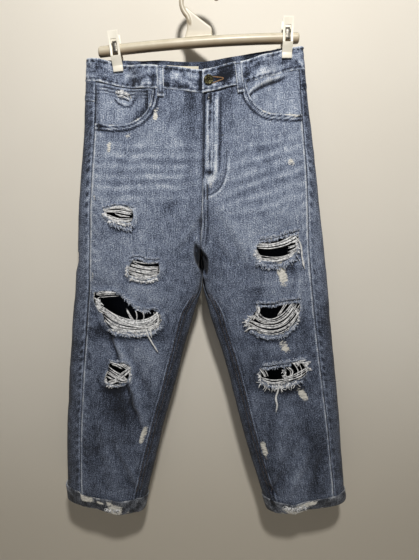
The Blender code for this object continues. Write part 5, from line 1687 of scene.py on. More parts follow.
# %% White weft in each hole
WEFT = {
    "right_thigh": (
        # upper line, lower line, count, height above the cloth, bulge
        (((-178, -396), (-152, -392), (-124, -398)), ((-176, -404), (-152, -404), (-128, -409)), 12, 0.9,
         1.4),
        (((-177, -407), (-160, -413), (-144, -416), (-125, -415)),
         ((-174, -414), (-156, -421), (-140, -425), (-126, -422)), 9, 0.8, 1.2),
        (((-160, -404), (-148, -408), (-134, -409)), ((-160, -406), (-148, -410), (-134, -412)), 2, 1.4, 0.6),
    ),
    "right_upper_knee": (
        (((-131, -494), (-112, -498), (-80, -498)), ((-131, -496), (-112, -501), (-80, -500)), 3, 0.6, 0.0),
        (((-134, -500), (-118, -504), (-98, -508), (-79, -506)),
         ((-137, -515), (-120, -521), (-98, -523), (-79, -519)), 13, 0.9, 1.6),
        (((-137, -514), (-120, -521), (-98, -524), (-78, -518)),
         ((-138, -525), (-120, -531), (-98, -533), (-79, -528)), 8, 1.3, 1.2),
        (((-128, -497), (-110, -505), (-82, -506)), ((-128, -499), (-110, -508), (-82, -508)), 2, 1.6, 0.5),
    ),
    "right_knee": (
        (((-206, -560), (-190, -555), (-168, -556)), ((-196, -567), (-184, -566), (-160, -564)), 8, 1.6, 0.8),
        (((-208, -568), (-200, -572), (-190, -580)), ((-206, -574), (-199, -582), (-188, -590)), 7, 1.2, 1.2),
        (((-206, -578), (-197, -584), (-186, -592)), ((-203, -586), (-197, -596), (-188, -602)), 6, 1.2, 1.0),
        (((-191, -586), (-174, -598), (-150, -608), (-120, -613), (-98, -609), (-81, -598)),
         ((-189, -606), (-170, -620), (-145, -628), (-118, -630), (-96, -624), (-79, -609)), 15, 1.0, 1.6),
        (((-189, -606), (-170, -622), (-145, -630), (-118, -631), (-96, -627), (-78, -612)),
         ((-184, -622), (-166, -635), (-142, -639), (-116, -640), (-94, -636), (-80, -622)), 9, 1.4, 1.4),
        (((-176, -597), (-140, -618), (-106, -620), (-80, -601)),
         ((-176, -600), (-140, -625), (-106, -628), (-80, -606)),
         4, 2.2, 1.6),
        (((-142, -590), (-134, -606), (-124, -622)), ((-144, -590), (-137, -608), (-127, -624)), 2, 1.8, 0.4),
        (((-125, -592), (-122, -604), (-124, -620)), ((-127, -592), (-124, -604), (-127, -620)), 2, 1.8, 0.4),
        (((-111, -594), (-109, -606), (-112, -622)), ((-113, -594), (-111, -606), (-115, -622)), 2, 1.8, 0.4),
        (((-84, -598), (-80, -610), (-84, -626)), ((-90, -597), (-87, -610), (-92, -628)), 4, 1.4, 0.8),
    ),
    "right_shin": (
        (((-181, -699), (-170, -703), (-158, -708)), ((-180, -706), (-170, -710), (-160, -716)), 6, 0.9, 0.8),
        (((-183, -712), (-168, -722), (-152, -734), (-145, -742)),
         ((-190, -735), (-176, -742), (-160, -748), (-150, -748)), 12, 1.0, 1.4),
        (((-142, -712), (-156, -724), (-174, -740), (-188, -746)),
         ((-143, -724), (-156, -736), (-172, -748), (-188, -752)), 8, 1.5, 1.0),
        (((-160, -703), (-152, -706), (-141, -714)), ((-163, -708), (-154, -714), (-141, -722)), 6, 1.2, 0.8),
    ),
    "left_thigh": (
        (((112, -466), (140, -466), (166, -459), (190, -445)),
         ((112, -471), (140, -471), (168, -465), (191, -452)),
         4, 1.4, 1.6),
        (((112, -462), (135, -463), (160, -457), (189, -441)),
         ((112, -465), (135, -466), (160, -461), (189, -446)),
         2, 0.8, 1.2),
        (((110, -484), (126, -488), (150, -489), (172, -483), (187, -472)),
         ((110, -491), (126, -496), (148, -498), (170, -492), (188, -480)), 8, 1.1, 1.6),
        (((170, -462), (180, -460), (191, -453)), ((172, -482), (181, -479), (190, -470)), 9, 1.5, 1.2),
        (((109, -470), (114, -478), (120, -486)), ((106, -474), (110, -484), (117, -492)), 5, 1.4, 0.8),
    ),
    "left_knee": (
        (((112, -592), (122, -606), (140, -612), (158, -606), (172, -594), (182, -578)),
         ((100, -618), (120, -626), (145, -629), (168, -620), (184, -604), (197, -582)), 11, 1.1, 1.8),
        (((101, -616), (122, -628), (146, -631), (170, -622), (186, -606), (198, -588)),
         ((97, -626), (120, -641), (146, -645), (172, -637), (188, -622), (198, -604)), 8, 1.5, 1.6),
        (((114, -594), (126, -608), (146, -614), (166, -604), (184, -580)),
         ((108, -606), (124, -618), (146, -622), (170, -610), (192, -584)), 4, 2.2, 1.6),
        (((116, -582), (120, -592), (118, -604)), ((110, -584), (113, -596), (110, -608)), 6, 1.2, 1.0),
        (((168, -579), (160, -592), (152, -606)), ((176, -578), (167, -592), (158, -607)), 4, 1.6, 0.8),
    ),
    "left_shin": (
        (((127, -714), (134, -720), (138, -730)), ((122, -720), (128, -730), (134, -738)), 6, 1.2, 0.8),
        (((126, -735), (146, -740), (166, -738), (186, -732)),
         ((128, -744), (146, -750), (168, -748), (188, -741)),
         7, 1.1, 1.4),
        (((168, -714), (178, -722), (176, -736)), ((200, -706), (206, -720), (204, -738)), 8, 1.4, 1.2),
        (((170, -732), (190, -726), (216, -712)), ((170, -742), (194, -738), (218, -726)), 6, 1.8, 1.0),
    ),
}
BROKEN_ENDS = {
    "right_knee": (((-107, -630), (-103, -645), (-97, -658), (-84, -681)),
                   ((-99, -628), (-97, -641), (-95, -650))),
    "left_thigh": (((184, -450), (193, -462), (196, -474), (198, -490), (204, -512)),),
    "left_shin": (((161, -744), (160, -762), (156, -780), (159, -796), (158, -812)),),
    "right_upper_knee": (((-128, -524), (-133, -533), (-137, -535)),),
    "left_knee": (((108, -626), (98, -622), (88, -628)), ((112, -632), (100, -631), (90, -638))),
}
WEFT_TUFTS = {
    # line, length, distance between ends, direction
    "right_knee": ((((-206, -570), (-200, -590)), 12, 2.2, (0.7, -0.7)),
                   (((-180, -632), (-120, -642), (-90, -634)), 7, 2.6, (0.1, -1))),
    "right_thigh": ((((-176, -398), (-176, -412)), 7, 2.0, (-1, -0.2)),
                    (((-172, -418), (-150, -423), (-130, -424)), 6, 2.4, (0.2, -1))),
    "right_upper_knee": ((((-137, -505), (-138, -524)), 6, 2.0, (-1, -0.4)),
                         (((-134, -529), (-104, -535), (-82, -529)), 6, 2.2, (-0.1, -1))),
    "right_shin": ((((-190, -738), (-186, -750), (-160, -750)), 8, 2.0, (-0.7, -0.7)),
                   (((-144, -716), (-144, -740)), 6, 2.2, (0.9, -0.4))),
    "left_thigh": ((((110, -482), (122, -494)), 7, 2.0, (-0.6, -0.8)),
                   (((186, -456), (189, -480)), 6, 2.2, (0.9, -0.5))),
    "left_knee": ((((110, -606), (98, -618), (102, -630)), 12, 1.8, (-0.9, -0.4)),
                  (((190, -592), (196, -612), (184, -630)), 6, 2.2, (0.5, -0.8))),
    "left_shin": ((((126, -742), (144, -749), (170, -748), (196, -742)), 17, 2.2, (0.1, -1)),
                  (((186, -704), (210, -704), (216, -720)), 12, 1.9, (0.8, -0.3)),
                  (((172, -716), (176, -734)), 10, 1.6, (-0.2, -1)),
                  (((124, -724), (126, -740)), 7, 2.0, (-1, -0.5))),
}
WARP_FRINGE = {
    # line, length, distance between ends, direction
    "right_thigh": ((((-182, -395), (-168, -391), (-146, -389), (-124, -394)), 4, 2.0, (0.1, 0.9)),
                    (((-170, -422), (-152, -428), (-132, -431), (-126, -424)), 9, 1.6, (0.2, -1))),
    "right_upper_knee": ((((-132, -493), (-119, -489), (-102, -496), (-80, -496)), 5, 1.8, (0.1, -0.9)),
                         (((-132, -489), (-118, -486), (-100, -492), (-78, -492)), 5, 1.8, (0.2, 0.9))),
    "right_knee": ((((-170, -556), (-155, -562), (-138, -577), (-122, -589), (-104, -592), (-84, -592)), 6,
                    1.6, (0.3, 0.9)),
                   (((-184, -634), (-160, -641), (-136, -643), (-112, -643), (-92, -638), (-78, -624)), 8,
                    1.6, (0.1, -1)),
                   (((-150, -566), (-136, -578), (-122, -590), (-100, -594)), 7, 2.2, (0.2, -0.9))),
    "right_shin": ((((-182, -700), (-166, -703), (-152, -701), (-142, -708)), 6, 1.8, (0.2, 0.9)),
                   (((-192, -746), (-172, -753), (-152, -749)), 6, 2.2, (0, -1))),
    "left_thigh": ((((115, -455), (140, -451), (163, -444), (190, -437)), 7, 1.3, (0.1, 1)),
                   (((117, -457), (140, -454), (163, -447), (188, -441)), 6, 1.7, (0.0, -0.9)),
                   (((112, -494), (128, -501), (150, -502), (170, -496), (186, -484)), 13, 1.4, (0.1, -1))),
    "left_knee": ((((112, -581), (140, -580), (168, -574), (197, -571)), 6, 1.4, (0.1, 1)),
                  (((116, -583), (140, -584), (168, -578), (197, -574)), 6, 1.8, (0, -0.9)),
                  (((104, -634), (124, -646), (150, -648), (174, -640), (192, -624)), 8, 1.4, (0, -1))),
    "left_shin": ((((127, -711), (156, -706), (184, -702), (212, -697)), 8, 1.4, (0.3, 0.9)),
                  (((130, -714), (156, -710), (184, -706)), 7, 1.8, (0, -0.9)),
                  (((126, -746), (150, -754), (184, -748), (210, -742)), 7, 1.8, (0, -1))),
}

for number, (hole, bands) in enumerate(WEFT.items()):
    leg, white, blue = hole.split("_")[0], [], []
    for i, (upper, lower, count, lift, bulge) in enumerate(bands):
        white += strands(leg, upper, lower, count, 300 + 20 * number + i, out=lift, bulge=bulge)
    loose = []
    for i, line in enumerate(BROKEN_ENDS.get(hole, ())):
        loose += loose_end(leg, line, 500 + 10 * number + i, out=1.6)
    if loose:
        yarns("loose_weft_" + hole, loose, 2.4, LOOSE_THREAD, seed=80 + number)
    for i, (line, length, pitch, lean) in enumerate(WEFT_TUFTS[hole]):
        white += fringe(leg, line, length, pitch, 600 + 10 * number + i, lean, out=1.6, curl=0.35)
    for i, (line, length, pitch, lean) in enumerate(WARP_FRINGE[hole]):
        blue += fringe(leg, line, length, pitch, 700 + 10 * number + i, lean, out=2.0)
    weft = yarns("weft_yarns_" + hole, white, 1.75, WEFT_THREAD, seed=number)
    warp = yarns("warp_fringe_" + hole, blue, 1.6, BLUE_FRAY, seed=40 + number, sides=0)
    print(hole, "has", len(white), "white and", len(blue), "blue yarns,",
          len(weft.data.polygons) + len(warp.data.polygons), "faces")

hanging = []
for leg, line, length in (("left", ((184, -1030), (204, -1034), (226, -1026)), 13),
                          ("right", ((-204, -1034), (-190, -1038), (-176, -1038)), 8)):
    hanging += fringe(leg, line, length, 2.0, 490, (0.1, -1), out=4.6, curl=0.3)
yarns("weft_fringe_cuffs", hanging, 1.3, WEFT_THREAD, seed=49)

torn = strands("right", ((-153, -184), (-143, -183), (-131, -189)),
               ((-151, -192), (-141, -193), (-128, -199)), 9, 480,
               rough=1.2, out=0.4, bulge=0.8)
torn += fringe("right", ((-153, -186), (-143, -184), (-130, -190)), 5, 1.6, 481, (0.1, 0.8), out=0.2,
               curl=0.5)
yarns("weft_yarns_coin_pocket", torn, 1.3, WEFT_THREAD, seed=48)

# %% [markdown]
# ## Hanger
# The hanger is one plastic moulding. Its round bar is extruded from a disc, station by station along a low
# arch, and its ends are bevelled. The hook is a disc spun round the hook's middle. The fin between them is a
# plate with rounded edges. A voxel remesh joins the three as the mould does, and smoothing leaves the small
# fillets that a mould needs.

# %% Working in edit mode
def deselect():
    if bpy.context.mode != "OBJECT":
        bpy.ops.object.mode_set(mode="OBJECT")
    bpy.ops.object.select_all(action="DESELECT")


def choose(piece, kind, test):
    """Selects the vertices, edges or faces of a piece that pass a test, and leaves edit mode on."""
    bpy.ops.object.mode_set(mode="EDIT")
    bpy.ops.mesh.select_mode(type=kind)
    build = bmesh.from_edit_mesh(piece.data)
    bpy.ops.mesh.select_all(action="DESELECT")
    parts = {"VERT": build.verts, "EDGE": build.edges, "FACE": build.faces}[kind]
    for part in parts:
        if test(part):
            part.select = True
    build.select_flush_mode()
    bmesh.update_edit_mesh(piece.data)


def apply_modifier(piece, kind, **settings):
    step = piece.modifiers.new(kind.lower(), kind)
    for name, value in settings.items():
        setattr(step, name, value)
    bpy.context.view_layer.objects.active = piece
    bpy.ops.object.modifier_apply(modifier=step.name)


def settle(piece, name, material, node, angle):
    """Bakes a finished piece's place into its mesh, finishes it and lets it stand for its CAD node."""
    deselect()
    piece.select_set(True)
    bpy.context.view_layer.objects.active = piece
    bpy.ops.object.transform_apply(location=True, rotation=True, scale=True)
    bpy.ops.object.shade_smooth_by_angle(angle=math.radians(angle))
    piece.name = name
    piece.data.name = name
    piece.data.materials.clear()
    piece.data.materials.append(material)
    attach(piece, "root")
    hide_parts(node)
    print(name, "has", len(piece.data.polygons), "faces")
    return piece


# %% Bar
BAR_RADIUS = 9.5
BAR_ENDS = ((-184.0, -112.5), (184.0, -88.5))
BAR_ARCH = 5.0


def bar_height(x):
    (x0, z0), (x1, z1) = BAR_ENDS
    t = (x - x0) / (x1 - x0)
    return z0 + (z1 - z0) * t + BAR_ARCH * 4 * t * (1 - t)


deselect()
bpy.ops.mesh.primitive_circle_add(
    vertices=40, radius=BAR_RADIUS * MM, fill_type="NGON",
    location=(BAR_ENDS[0][0] * MM, 0, BAR_ENDS[0][1] * MM),
    rotation=(0, math.radians(90), 0),
)
bar = bpy.context.object
bpy.ops.object.mode_set(mode="EDIT")
stations = np.linspace(BAR_ENDS[0][0], BAR_ENDS[1][0], 25)
for before, after in zip(stations, stations[1:]):
    bpy.ops.mesh.extrude_region_move(TRANSFORM_OT_translate={
        "value": ((after - before) * MM, 0, (bar_height(after) - bar_height(before)) * MM),
        "orient_type": "GLOBAL",
    })
bpy.ops.mesh.select_all(action="SELECT")
bpy.ops.mesh.normals_make_consistent(inside=False)
choose(bar, "EDGE", lambda e: any(len(f.verts) > 4 for f in e.link_faces))
bpy.ops.mesh.bevel(offset=3.2 * MM, segments=4, affect="EDGES")
bpy.ops.object.mode_set(mode="OBJECT")

# %% Hook
HOOK_RADIUS, ROD_RADIUS = 32.0, 4.5
HOOK_CENTRE = (1.0, ROD_RADIUS - HOOK_RADIUS)
HOOK_START, HOOK_END = math.radians(4), math.radians(228)
HOOK_FOOT = (((-17.2, -58.5), 1.0), ((-15.4, -63), 0.8), ((-13.8, -68), 0.5))  # x and z, and how much thinner

deselect()
bpy.ops.mesh.primitive_circle_add(
    vertices=24, radius=ROD_RADIUS * MM, fill_type="NGON", rotation=(0, -HOOK_START, 0),
    location=((HOOK_CENTRE[0] + HOOK_RADIUS * math.cos(HOOK_START)) * MM, 0,
              (HOOK_CENTRE[1] + HOOK_RADIUS * math.sin(HOOK_START)) * MM),
)
hook = bpy.context.object
bpy.ops.object.mode_set(mode="EDIT")
bpy.ops.mesh.spin(
    steps=48, angle=HOOK_END - HOOK_START, center=(HOOK_CENTRE[0] * MM, 0, HOOK_CENTRE[1] * MM),
    axis=(0, 1, 0),
)
here = (HOOK_CENTRE[0] + HOOK_RADIUS * math.cos(HOOK_END), HOOK_CENTRE[1] + HOOK_RADIUS * math.sin(HOOK_END))
for there, thinner in HOOK_FOOT:
    bpy.ops.mesh.extrude_region_move(TRANSFORM_OT_translate={
        "value": ((there[0] - here[0]) * MM, 0, (there[1] - here[1]) * MM), "orient_type": "GLOBAL",
    })
    bpy.ops.transform.resize(value=(thinner, thinner, thinner),
                             center_override=(there[0] * MM, 0, there[1] * MM))
    here = there
bpy.ops.mesh.select_all(action="SELECT")
bpy.ops.mesh.normals_make_consistent(inside=False)
choose(hook, "EDGE", lambda e: any(len(f.verts) > 4 for f in e.link_faces))
bpy.ops.mesh.bevel(offset=1.2 * MM, segments=3, affect="EDGES")
bpy.ops.object.mode_set(mode="OBJECT")

# %% Fin: a disc whose rim is dragged to the fin's outline, then extruded to a plate
FIN_OUTLINE = (
    (-29, -36), (-22, -36), (-9, -46), (4, -56), (17, -65), (21, -67.5), (23.8, -70.5), (25, -75), (25, -84),
    (25, -92), (-28, -96), (-26, -88), (-23, -80), (-21, -72), (-21, -65), (-22.5, -58), (-25, -50),
    (-27.5, -43),
)
FIN_THICKNESS = 4.0

deselect()
bpy.ops.mesh.primitive_circle_add(vertices=len(FIN_OUTLINE), radius=0.03, fill_type="NGON")
fin = bpy.context.object
for corner, (x, z) in zip(fin.data.vertices, FIN_OUTLINE):
    corner.co = (x * MM, -FIN_THICKNESS / 2 * MM, z * MM)
bpy.ops.object.mode_set(mode="EDIT")
bpy.ops.mesh.select_all(action="SELECT")
bpy.ops.mesh.extrude_region_move(TRANSFORM_OT_translate={"value": (0, FIN_THICKNESS * MM, 0),
                                                         "orient_type": "GLOBAL"})
bpy.ops.mesh.select_all(action="SELECT")
bpy.ops.mesh.normals_make_consistent(inside=False)
choose(fin, "EDGE", lambda e: any(len(f.verts) > 4 for f in e.link_faces))
bpy.ops.mesh.bevel(offset=0.9 * MM, segments=3, affect="EDGES")
bpy.ops.object.mode_set(mode="OBJECT")

# %% One moulding
deselect()
for part in (fin, hook, bar):
    part.select_set(True)
bpy.context.view_layer.objects.active = bar
bpy.ops.object.join()
bpy.ops.object.transform_apply(location=True, rotation=True, scale=True)
apply_modifier(bar, "REMESH", mode="VOXEL", voxel_size=1.05 * MM)
apply_modifier(bar, "SMOOTH", factor=0.5, iterations=5)
settle(bar, "hanger_moulding", OLD_IVORY, "hanger_frame", angle=80)

# %% [markdown]
# ## Clips
# A clip is two moulded jaws and a bent steel strip. Each jaw starts as a box, cut across where it bends in
# to the cloth. Its face is inset so that a thin rim stands round it, a window is cut through it for the
# strip, and small bevels round every edge. The strip hooks over the bar and out through both windows.

# %% Jaws
CLIP_WIDTH, CLIP_HEIGHT, CLIP_WALL = 18.5, 68.0, 3.0
CLIP_PLACE = {"right": ((-148, -79), -6.5), "left": ((162, -56), 0.0)}  # x at the foot, z at the top; lean
BEND_TOP, BEND_FOOT = 42.0, 58.0
JAW_CLEAR = 10.5
JAW_GRIP = 2.6 + 0.6 + 0.75
WINDOW = (5.0, 14.0, 42.0)


def clip_place(side):
    (foot_x, top_z), lean = CLIP_PLACE[side]
    foot = Vector((foot_x, 0, top_z - CLIP_HEIGHT)) * MM
    turn = Matrix.Rotation(math.radians(lean), 4, "Y")
    return Matrix.Translation(foot) @ turn @ Matrix.Translation(Vector((0, 0, CLIP_HEIGHT * MM)))


def jaw(side, face, height):
    deselect()
    bpy.ops.mesh.primitive_cube_add(size=1, location=(0, 0, 0))
    made = bpy.context.object
    for corner in made.data.vertices:
        x, y, z = corner.co
        corner.co = (x * CLIP_WIDTH * MM, (face * (JAW_CLEAR + CLIP_WALL / 2) + y * CLIP_WALL) * MM,
                     (z - 0.5) * height * MM)
    for level in (BEND_TOP, 50.0, BEND_FOOT):
        choose(made, "VERT", lambda v: True)
        bpy.ops.mesh.bisect(plane_co=(0, 0, -level * MM), plane_no=(0, 0, 1))
    for level, share in ((50.0, 0.5), (BEND_FOOT, 0.5)):
        choose(made, "VERT", lambda v: v.co.z < (-level + 1) * MM)
        bpy.ops.transform.translate(value=(0, -face * (JAW_CLEAR - JAW_GRIP) * share * MM, 0),
                                    orient_type="GLOBAL")
    bpy.ops.mesh.select_all(action="SELECT")
    bpy.ops.mesh.normals_make_consistent(inside=False)
    choose(made, "FACE", lambda f: f.normal.y * face > 0.9 and f.calc_center_median().z > -BEND_TOP * MM)
    bpy.ops.mesh.inset(thickness=2.1 * MM, depth=-0.8 * MM)
    choose(made, "FACE", lambda f: f.normal.y * face > 0.9 and f.calc_center_median().z < -BEND_FOOT * MM)
    bpy.ops.mesh.inset(thickness=1.5 * MM, depth=0.35 * MM)
    bpy.ops.object.mode_set(mode="OBJECT")

    half, upper, lower = WINDOW
    bpy.ops.object.select_all(action="DESELECT")
    bpy.ops.mesh.primitive_cube_add(size=1, location=(0, 0, 0))
    cutter = bpy.context.object
    for corner in cutter.data.vertices:
        x, y, z = corner.co
        corner.co = (x * 2 * half * MM, (face * 14 + y * 24) * MM,
                     (-(upper + lower) / 2 + z * (lower - upper)) * MM)
    apply_modifier(made, "BOOLEAN", object=cutter, operation="DIFFERENCE", solver="EXACT")
    bpy.data.objects.remove(cutter, do_unlink=True)
    apply_modifier(made, "BEVEL", width=0.55 * MM, segments=2, limit_method="ANGLE",
                   angle_limit=math.radians(35))
    made.matrix_world = clip_place(side)
    name = ("front" if face == -1 else "rear") + "_" + side
    return settle(made, "jaw_" + name, IVORY, "clip_" + name, angle=30)


for side in SIDE:
    jaw(side, -1, CLIP_HEIGHT)
    jaw(side, 1, CLIP_HEIGHT - 5)

# %% Springs: one flat strip, bent over the bar, whose ends turn out through the windows
STRIP_ROUTE = (
    # depth past the bar's face, height from the top of the clip
    (3.4, -37.6), (2.0, -36.2), (1.2, -34.4), (0.9, -31.0), (1.3, -27.0), (0.9, -22.5), (0.4, -19.4),
    (-1.2, -17.2),
    (-4.6, -15.6),
)
STRIP_HALF_WIDTH = 3.6


def spring(side):
    deselect()
    route = [(-(BAR_RADIUS + past), z) for past, z in STRIP_ROUTE]
    route = route + [(-y, z) for y, z in route[::-1]]
    bpy.ops.mesh.primitive_plane_add(size=1)
    made = bpy.context.object
    bpy.ops.object.mode_set(mode="EDIT")
    bpy.ops.mesh.delete(type="ONLY_FACE")
    bpy.ops.object.mode_set(mode="OBJECT")
    choose(made, "VERT", lambda v: v.co.y > 0)
    bpy.ops.mesh.delete(type="VERT")
    bpy.ops.object.mode_set(mode="OBJECT")
    for corner in made.data.vertices:
        corner.co = (math.copysign(STRIP_HALF_WIDTH, corner.co.x) * MM, route[0][0] * MM, route[0][1] * MM)
    bpy.ops.object.mode_set(mode="EDIT")
    bpy.ops.mesh.select_mode(type="EDGE")
    bpy.ops.mesh.select_all(action="SELECT")
    for before, after in zip(route, route[1:]):
        bpy.ops.mesh.extrude_region_move(TRANSFORM_OT_translate={
            "value": (0, (after[0] - before[0]) * MM, (after[1] - before[1]) * MM), "orient_type": "GLOBAL",
        })
    bpy.ops.mesh.select_all(action="SELECT")
    bpy.ops.mesh.normals_make_consistent(inside=False)
    bpy.ops.object.mode_set(mode="OBJECT")
    apply_modifier(made, "SOLIDIFY", thickness=0.6 * MM, offset=0)
    apply_modifier(made, "BEVEL", width=0.15 * MM, segments=2, limit_method="ANGLE",
                   angle_limit=math.radians(50))
    made.matrix_world = clip_place(side)
    return settle(made, "steel_strip_" + side, STEEL, "clip_spring_" + side, angle=50)


for side in SIDE:
    spring(side)

# %% [markdown]
# ## Button and rivet
# The waist button is a stamped brass shell on a shank, with a rolled rim, a ring and a small domed middle.
# The coin pocket's rivet is a smaller cap with a nipple. Both are turned parts, so a short outline is spun
# round its axis. They are dull and dark in the hollows, where the brass has tarnished.

# %% Turned brass
def turned(name, profile, middle, node, steps=40):
    """A closed outline of radius and height, spun round an axis that points out of the front."""
    deselect()
    bpy.ops.mesh.primitive_circle_add(vertices=len(profile), radius=0.01, fill_type="NOTHING")
    made = bpy.context.object
    for corner, (radius, height) in zip(made.data.vertices, profile):
        corner.co = (radius * MM, -height * MM, 0)
    choose(made, "EDGE", lambda e: all(v.co.x < 1e-7 for v in e.verts))
    bpy.ops.mesh.delete(type="EDGE")
    bpy.ops.mesh.select_all(action="SELECT")
    bpy.ops.mesh.spin(steps=steps, angle=math.tau, center=(0, 0, 0), axis=(0, 1, 0))
    bpy.ops.mesh.select_all(action="SELECT")
    bpy.ops.mesh.remove_doubles(threshold=1e-6)
    bpy.ops.mesh.normals_make_consistent(inside=False)
    bpy.ops.object.mode_set(mode="OBJECT")
    made.location = Vector(middle) * MM
    return settle(made, name, BRASS, node, angle=35)


BUTTON_PROFILE = (
    (0.0, -0.2), (4.4, -0.2), (4.6, 1.2), (7.6, 1.3), (8.5, 1.8), (8.7, 2.5), (8.4, 3.2), (7.6, 3.6),
    (6.9, 3.5),
    (6.4, 3.0), (5.4, 2.9), (4.9, 3.4), (4.2, 3.5), (3.7, 3.0), (2.4, 2.9), (1.8, 3.4), (0.9, 3.8),
    (0.0, 3.9),
)
RIVET_PROFILE = (
    (0.0, -0.2), (4.3, -0.2), (4.4, 0.3), (4.1, 0.9), (3.3, 1.2), (2.2, 1.2), (1.8, 0.9), (1.4, 1.1),
    (1.1, 1.7),
    (0.0, 1.9),
)
button_box, rivet_box = (np.array(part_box(node)) / MM for node in ("waist_button", "coin_pocket_rivet"))
print("button", np.round(button_box, 1).tolist(), "rivet", np.round(rivet_box, 1).tolist())
button_middle, rivet_middle = button_box.mean(0), rivet_box.mean(0)
turned("brass_button", BUTTON_PROFILE, (button_middle[0], button_box[1][1] - 0.1, button_middle[2]),
       "waist_button")
turned("brass_rivet", RIVET_PROFILE, (rivet_middle[0], rivet_box[1][1] + 0.1, rivet_middle[2]),
       "coin_pocket_rivet")

# %% [markdown]
# ## Stitches
# Jeans are sewn with a thick thread, about eight stitches to the inch, in single or double rows. Each
# stitch is a short arched piece of thread that dips into the cloth at both ends. A row is given as a line
# near the cloth. The stitches find the cloth's own surface, so they follow every fold and pucker.

# %% Rows of stitches
STITCH_PITCH, STITCH_LENGTH, STITCH_THICK = 3.4, 2.7, 0.62


def stitch_routes(piece, route, pitch=STITCH_PITCH, length=STITCH_LENGTH, across=0.0, lift=0.30):
    """Arched stitches along a line of points near a piece, or across it when across is a width."""
    route = np.asarray(route, float)
    run = np.append(0, np.cumsum(np.linalg.norm(np.diff(route, axis=0), axis=1)))
    made = []
    for start in np.arange(0.3, run[-1] - length, pitch):
        pair = [np.array([np.interp(at, run, route[:, k]) for k in range(3)])
                for at in (start, start + length)]
        found = [piece.closest_point_on_mesh(Vector(place) * MM) for place in pair]
        ends = [np.array(f[1]) / MM for f in found]
        normal = np.array(found[0][2])
        step = ends[1] - ends[0]
        if across:
            sideways = np.cross(step, normal)
            sideways = sideways / max(1e-6, np.linalg.norm(sideways)) * across / 2
            middle = (ends[0] + ends[1]) / 2
            ends = [middle - sideways, middle + sideways]
            step = ends[1] - ends[0]
        made.append([
            ends[0] - 0.45 * normal, ends[0] + 0.2 * step + lift * normal,
            ends[0] + 0.8 * step + lift * normal,
            ends[1] - 0.45 * normal,
        ])
    return made


def sewn(name, stitches, material=TOPSTITCH, thick=STITCH_THICK, seed=0):
    made = yarns(name, stitches, thick, material, seed=seed, sides=0)
    print(name, "has", len(stitches), "stitches,", len(made.data.polygons), "faces")
    return made


def offset_line(line, distance, step=3.0):
    """A smooth line beside another, at a distance to its right as it runs."""
    line = rounded(np.asarray(line, float), step)
    heading = np.gradient(line, axis=0)
    heading /= np.linalg.norm(heading, axis=1, keepdims=True)
    return line + distance * np.column_stack([heading[:, 1], -heading[:, 0]])


def by_x(leg, face, x, z, out=2.0):
    """Points near a panel from x and z."""
    x, z = np.asarray(x, float), np.asarray(z, float)
    low, high = np.zeros(x.shape), np.ones(x.shape)
    for _ in range(14):
        middle = (low + high) / 2
        short = on_form(leg, face, middle, z)[..., 0] * SIDE[leg] < x * SIDE[leg]
        low, high = np.where(short, middle, low), np.where(short, high, middle)
    return on_form(leg, face, (low + high) / 2, z, out)


def down_seam(leg, face, gap, top_z, foot_z, from_side=False, out=2.0):
    """Points down a panel, a fixed gap from its inner or side seam."""
    z = np.arange(top_z, foot_z, -6.0)
    u = gap / panel_width(leg, face, z)
    return on_form(leg, face, 1 - u if from_side else u, z, out)


bpy.context.view_layer.update()
for leg in SIDE:
    front, (back, yoke) = fronts[leg], backs[leg]
    rows = []
    for gap in (4.2, 11.6):
        rows += stitch_routes(front, down_seam(leg, -1, gap, FORK_Z - 18, HEM_Z + 34))
    sewn("stitches_inseam_" + leg, rows, INSEAM_THREAD, seed=800)
    rows = []
    mouth = MOUTH_EDGES[leg]
    for gap in (3.0, 9.4):
        line = offset_line(mouth, -gap if leg == "left" else gap)
        line = line[line[:, 0] * SIDE[leg] < (184 if leg == "left" else 186)]
        rows += stitch_routes(front, by_x(leg, -1, line[:, 0], line[:, 1]))
    rows += stitch_routes(front, down_seam(leg, -1, 3.0, -200, -262, from_side=True))
    sewn("stitches_front_" + leg, rows, seed=801)

    rows = []
    for gap in (2.4, 9.0):
        x = np.linspace(4, on_form(leg, 1, np.array([0.97]), np.array([-250.0]))[0, 0] * SIDE[leg],
                        70) * SIDE[leg]
        rows += stitch_routes(yoke, by_x(leg, 1, x, yoke_line(x) + gap))
    if leg == "left":
        for gap in (2.6, 9.2):
            rows += stitch_routes(back, down_seam(leg, 1, gap, -262, FORK_Z))
            rows += stitch_routes(yoke, down_seam(leg, 1, gap, -160, -242))
    sewn("stitches_back_" + leg, rows, seed=802)

pocket_of = {leg: bpy.data.objects["back_pocket_" + leg + "_cloth"] for leg in SIDE}
for leg, middle in POCKET_MIDDLES.items():
    edge = ((middle - 72, -258), (middle - 62, -370), (middle, -394), (middle + 62, -370),
            (middle + 72, -258))
    rows = []
    for gap in (2.4, 8.6):
        for a, b in zip(edge, edge[1:]):
            line = np.array([np.linspace(a[k], b[k], 30) for k in (0, 1)]).T
            heading = (line[-1] - line[0]) / np.linalg.norm(line[-1] - line[0])
            line = line + gap * np.array([-heading[1], heading[0]])
            keep = line[(np.abs(line[:, 0] - middle) < 69 - gap) & (line[:, 1] < -259)]
            rows += stitch_routes(pocket_of[leg], by_x(leg, 1, keep[:, 0], keep[:, 1], 4.0))
    for level in (-261, -275):
        x = np.linspace(middle - 67, middle + 67, 40)
        rows += stitch_routes(pocket_of[leg], by_x(leg, 1, x, x * 0 + level, 4.0))
    sewn("stitches_back_pocket_" + leg, rows, seed=803)

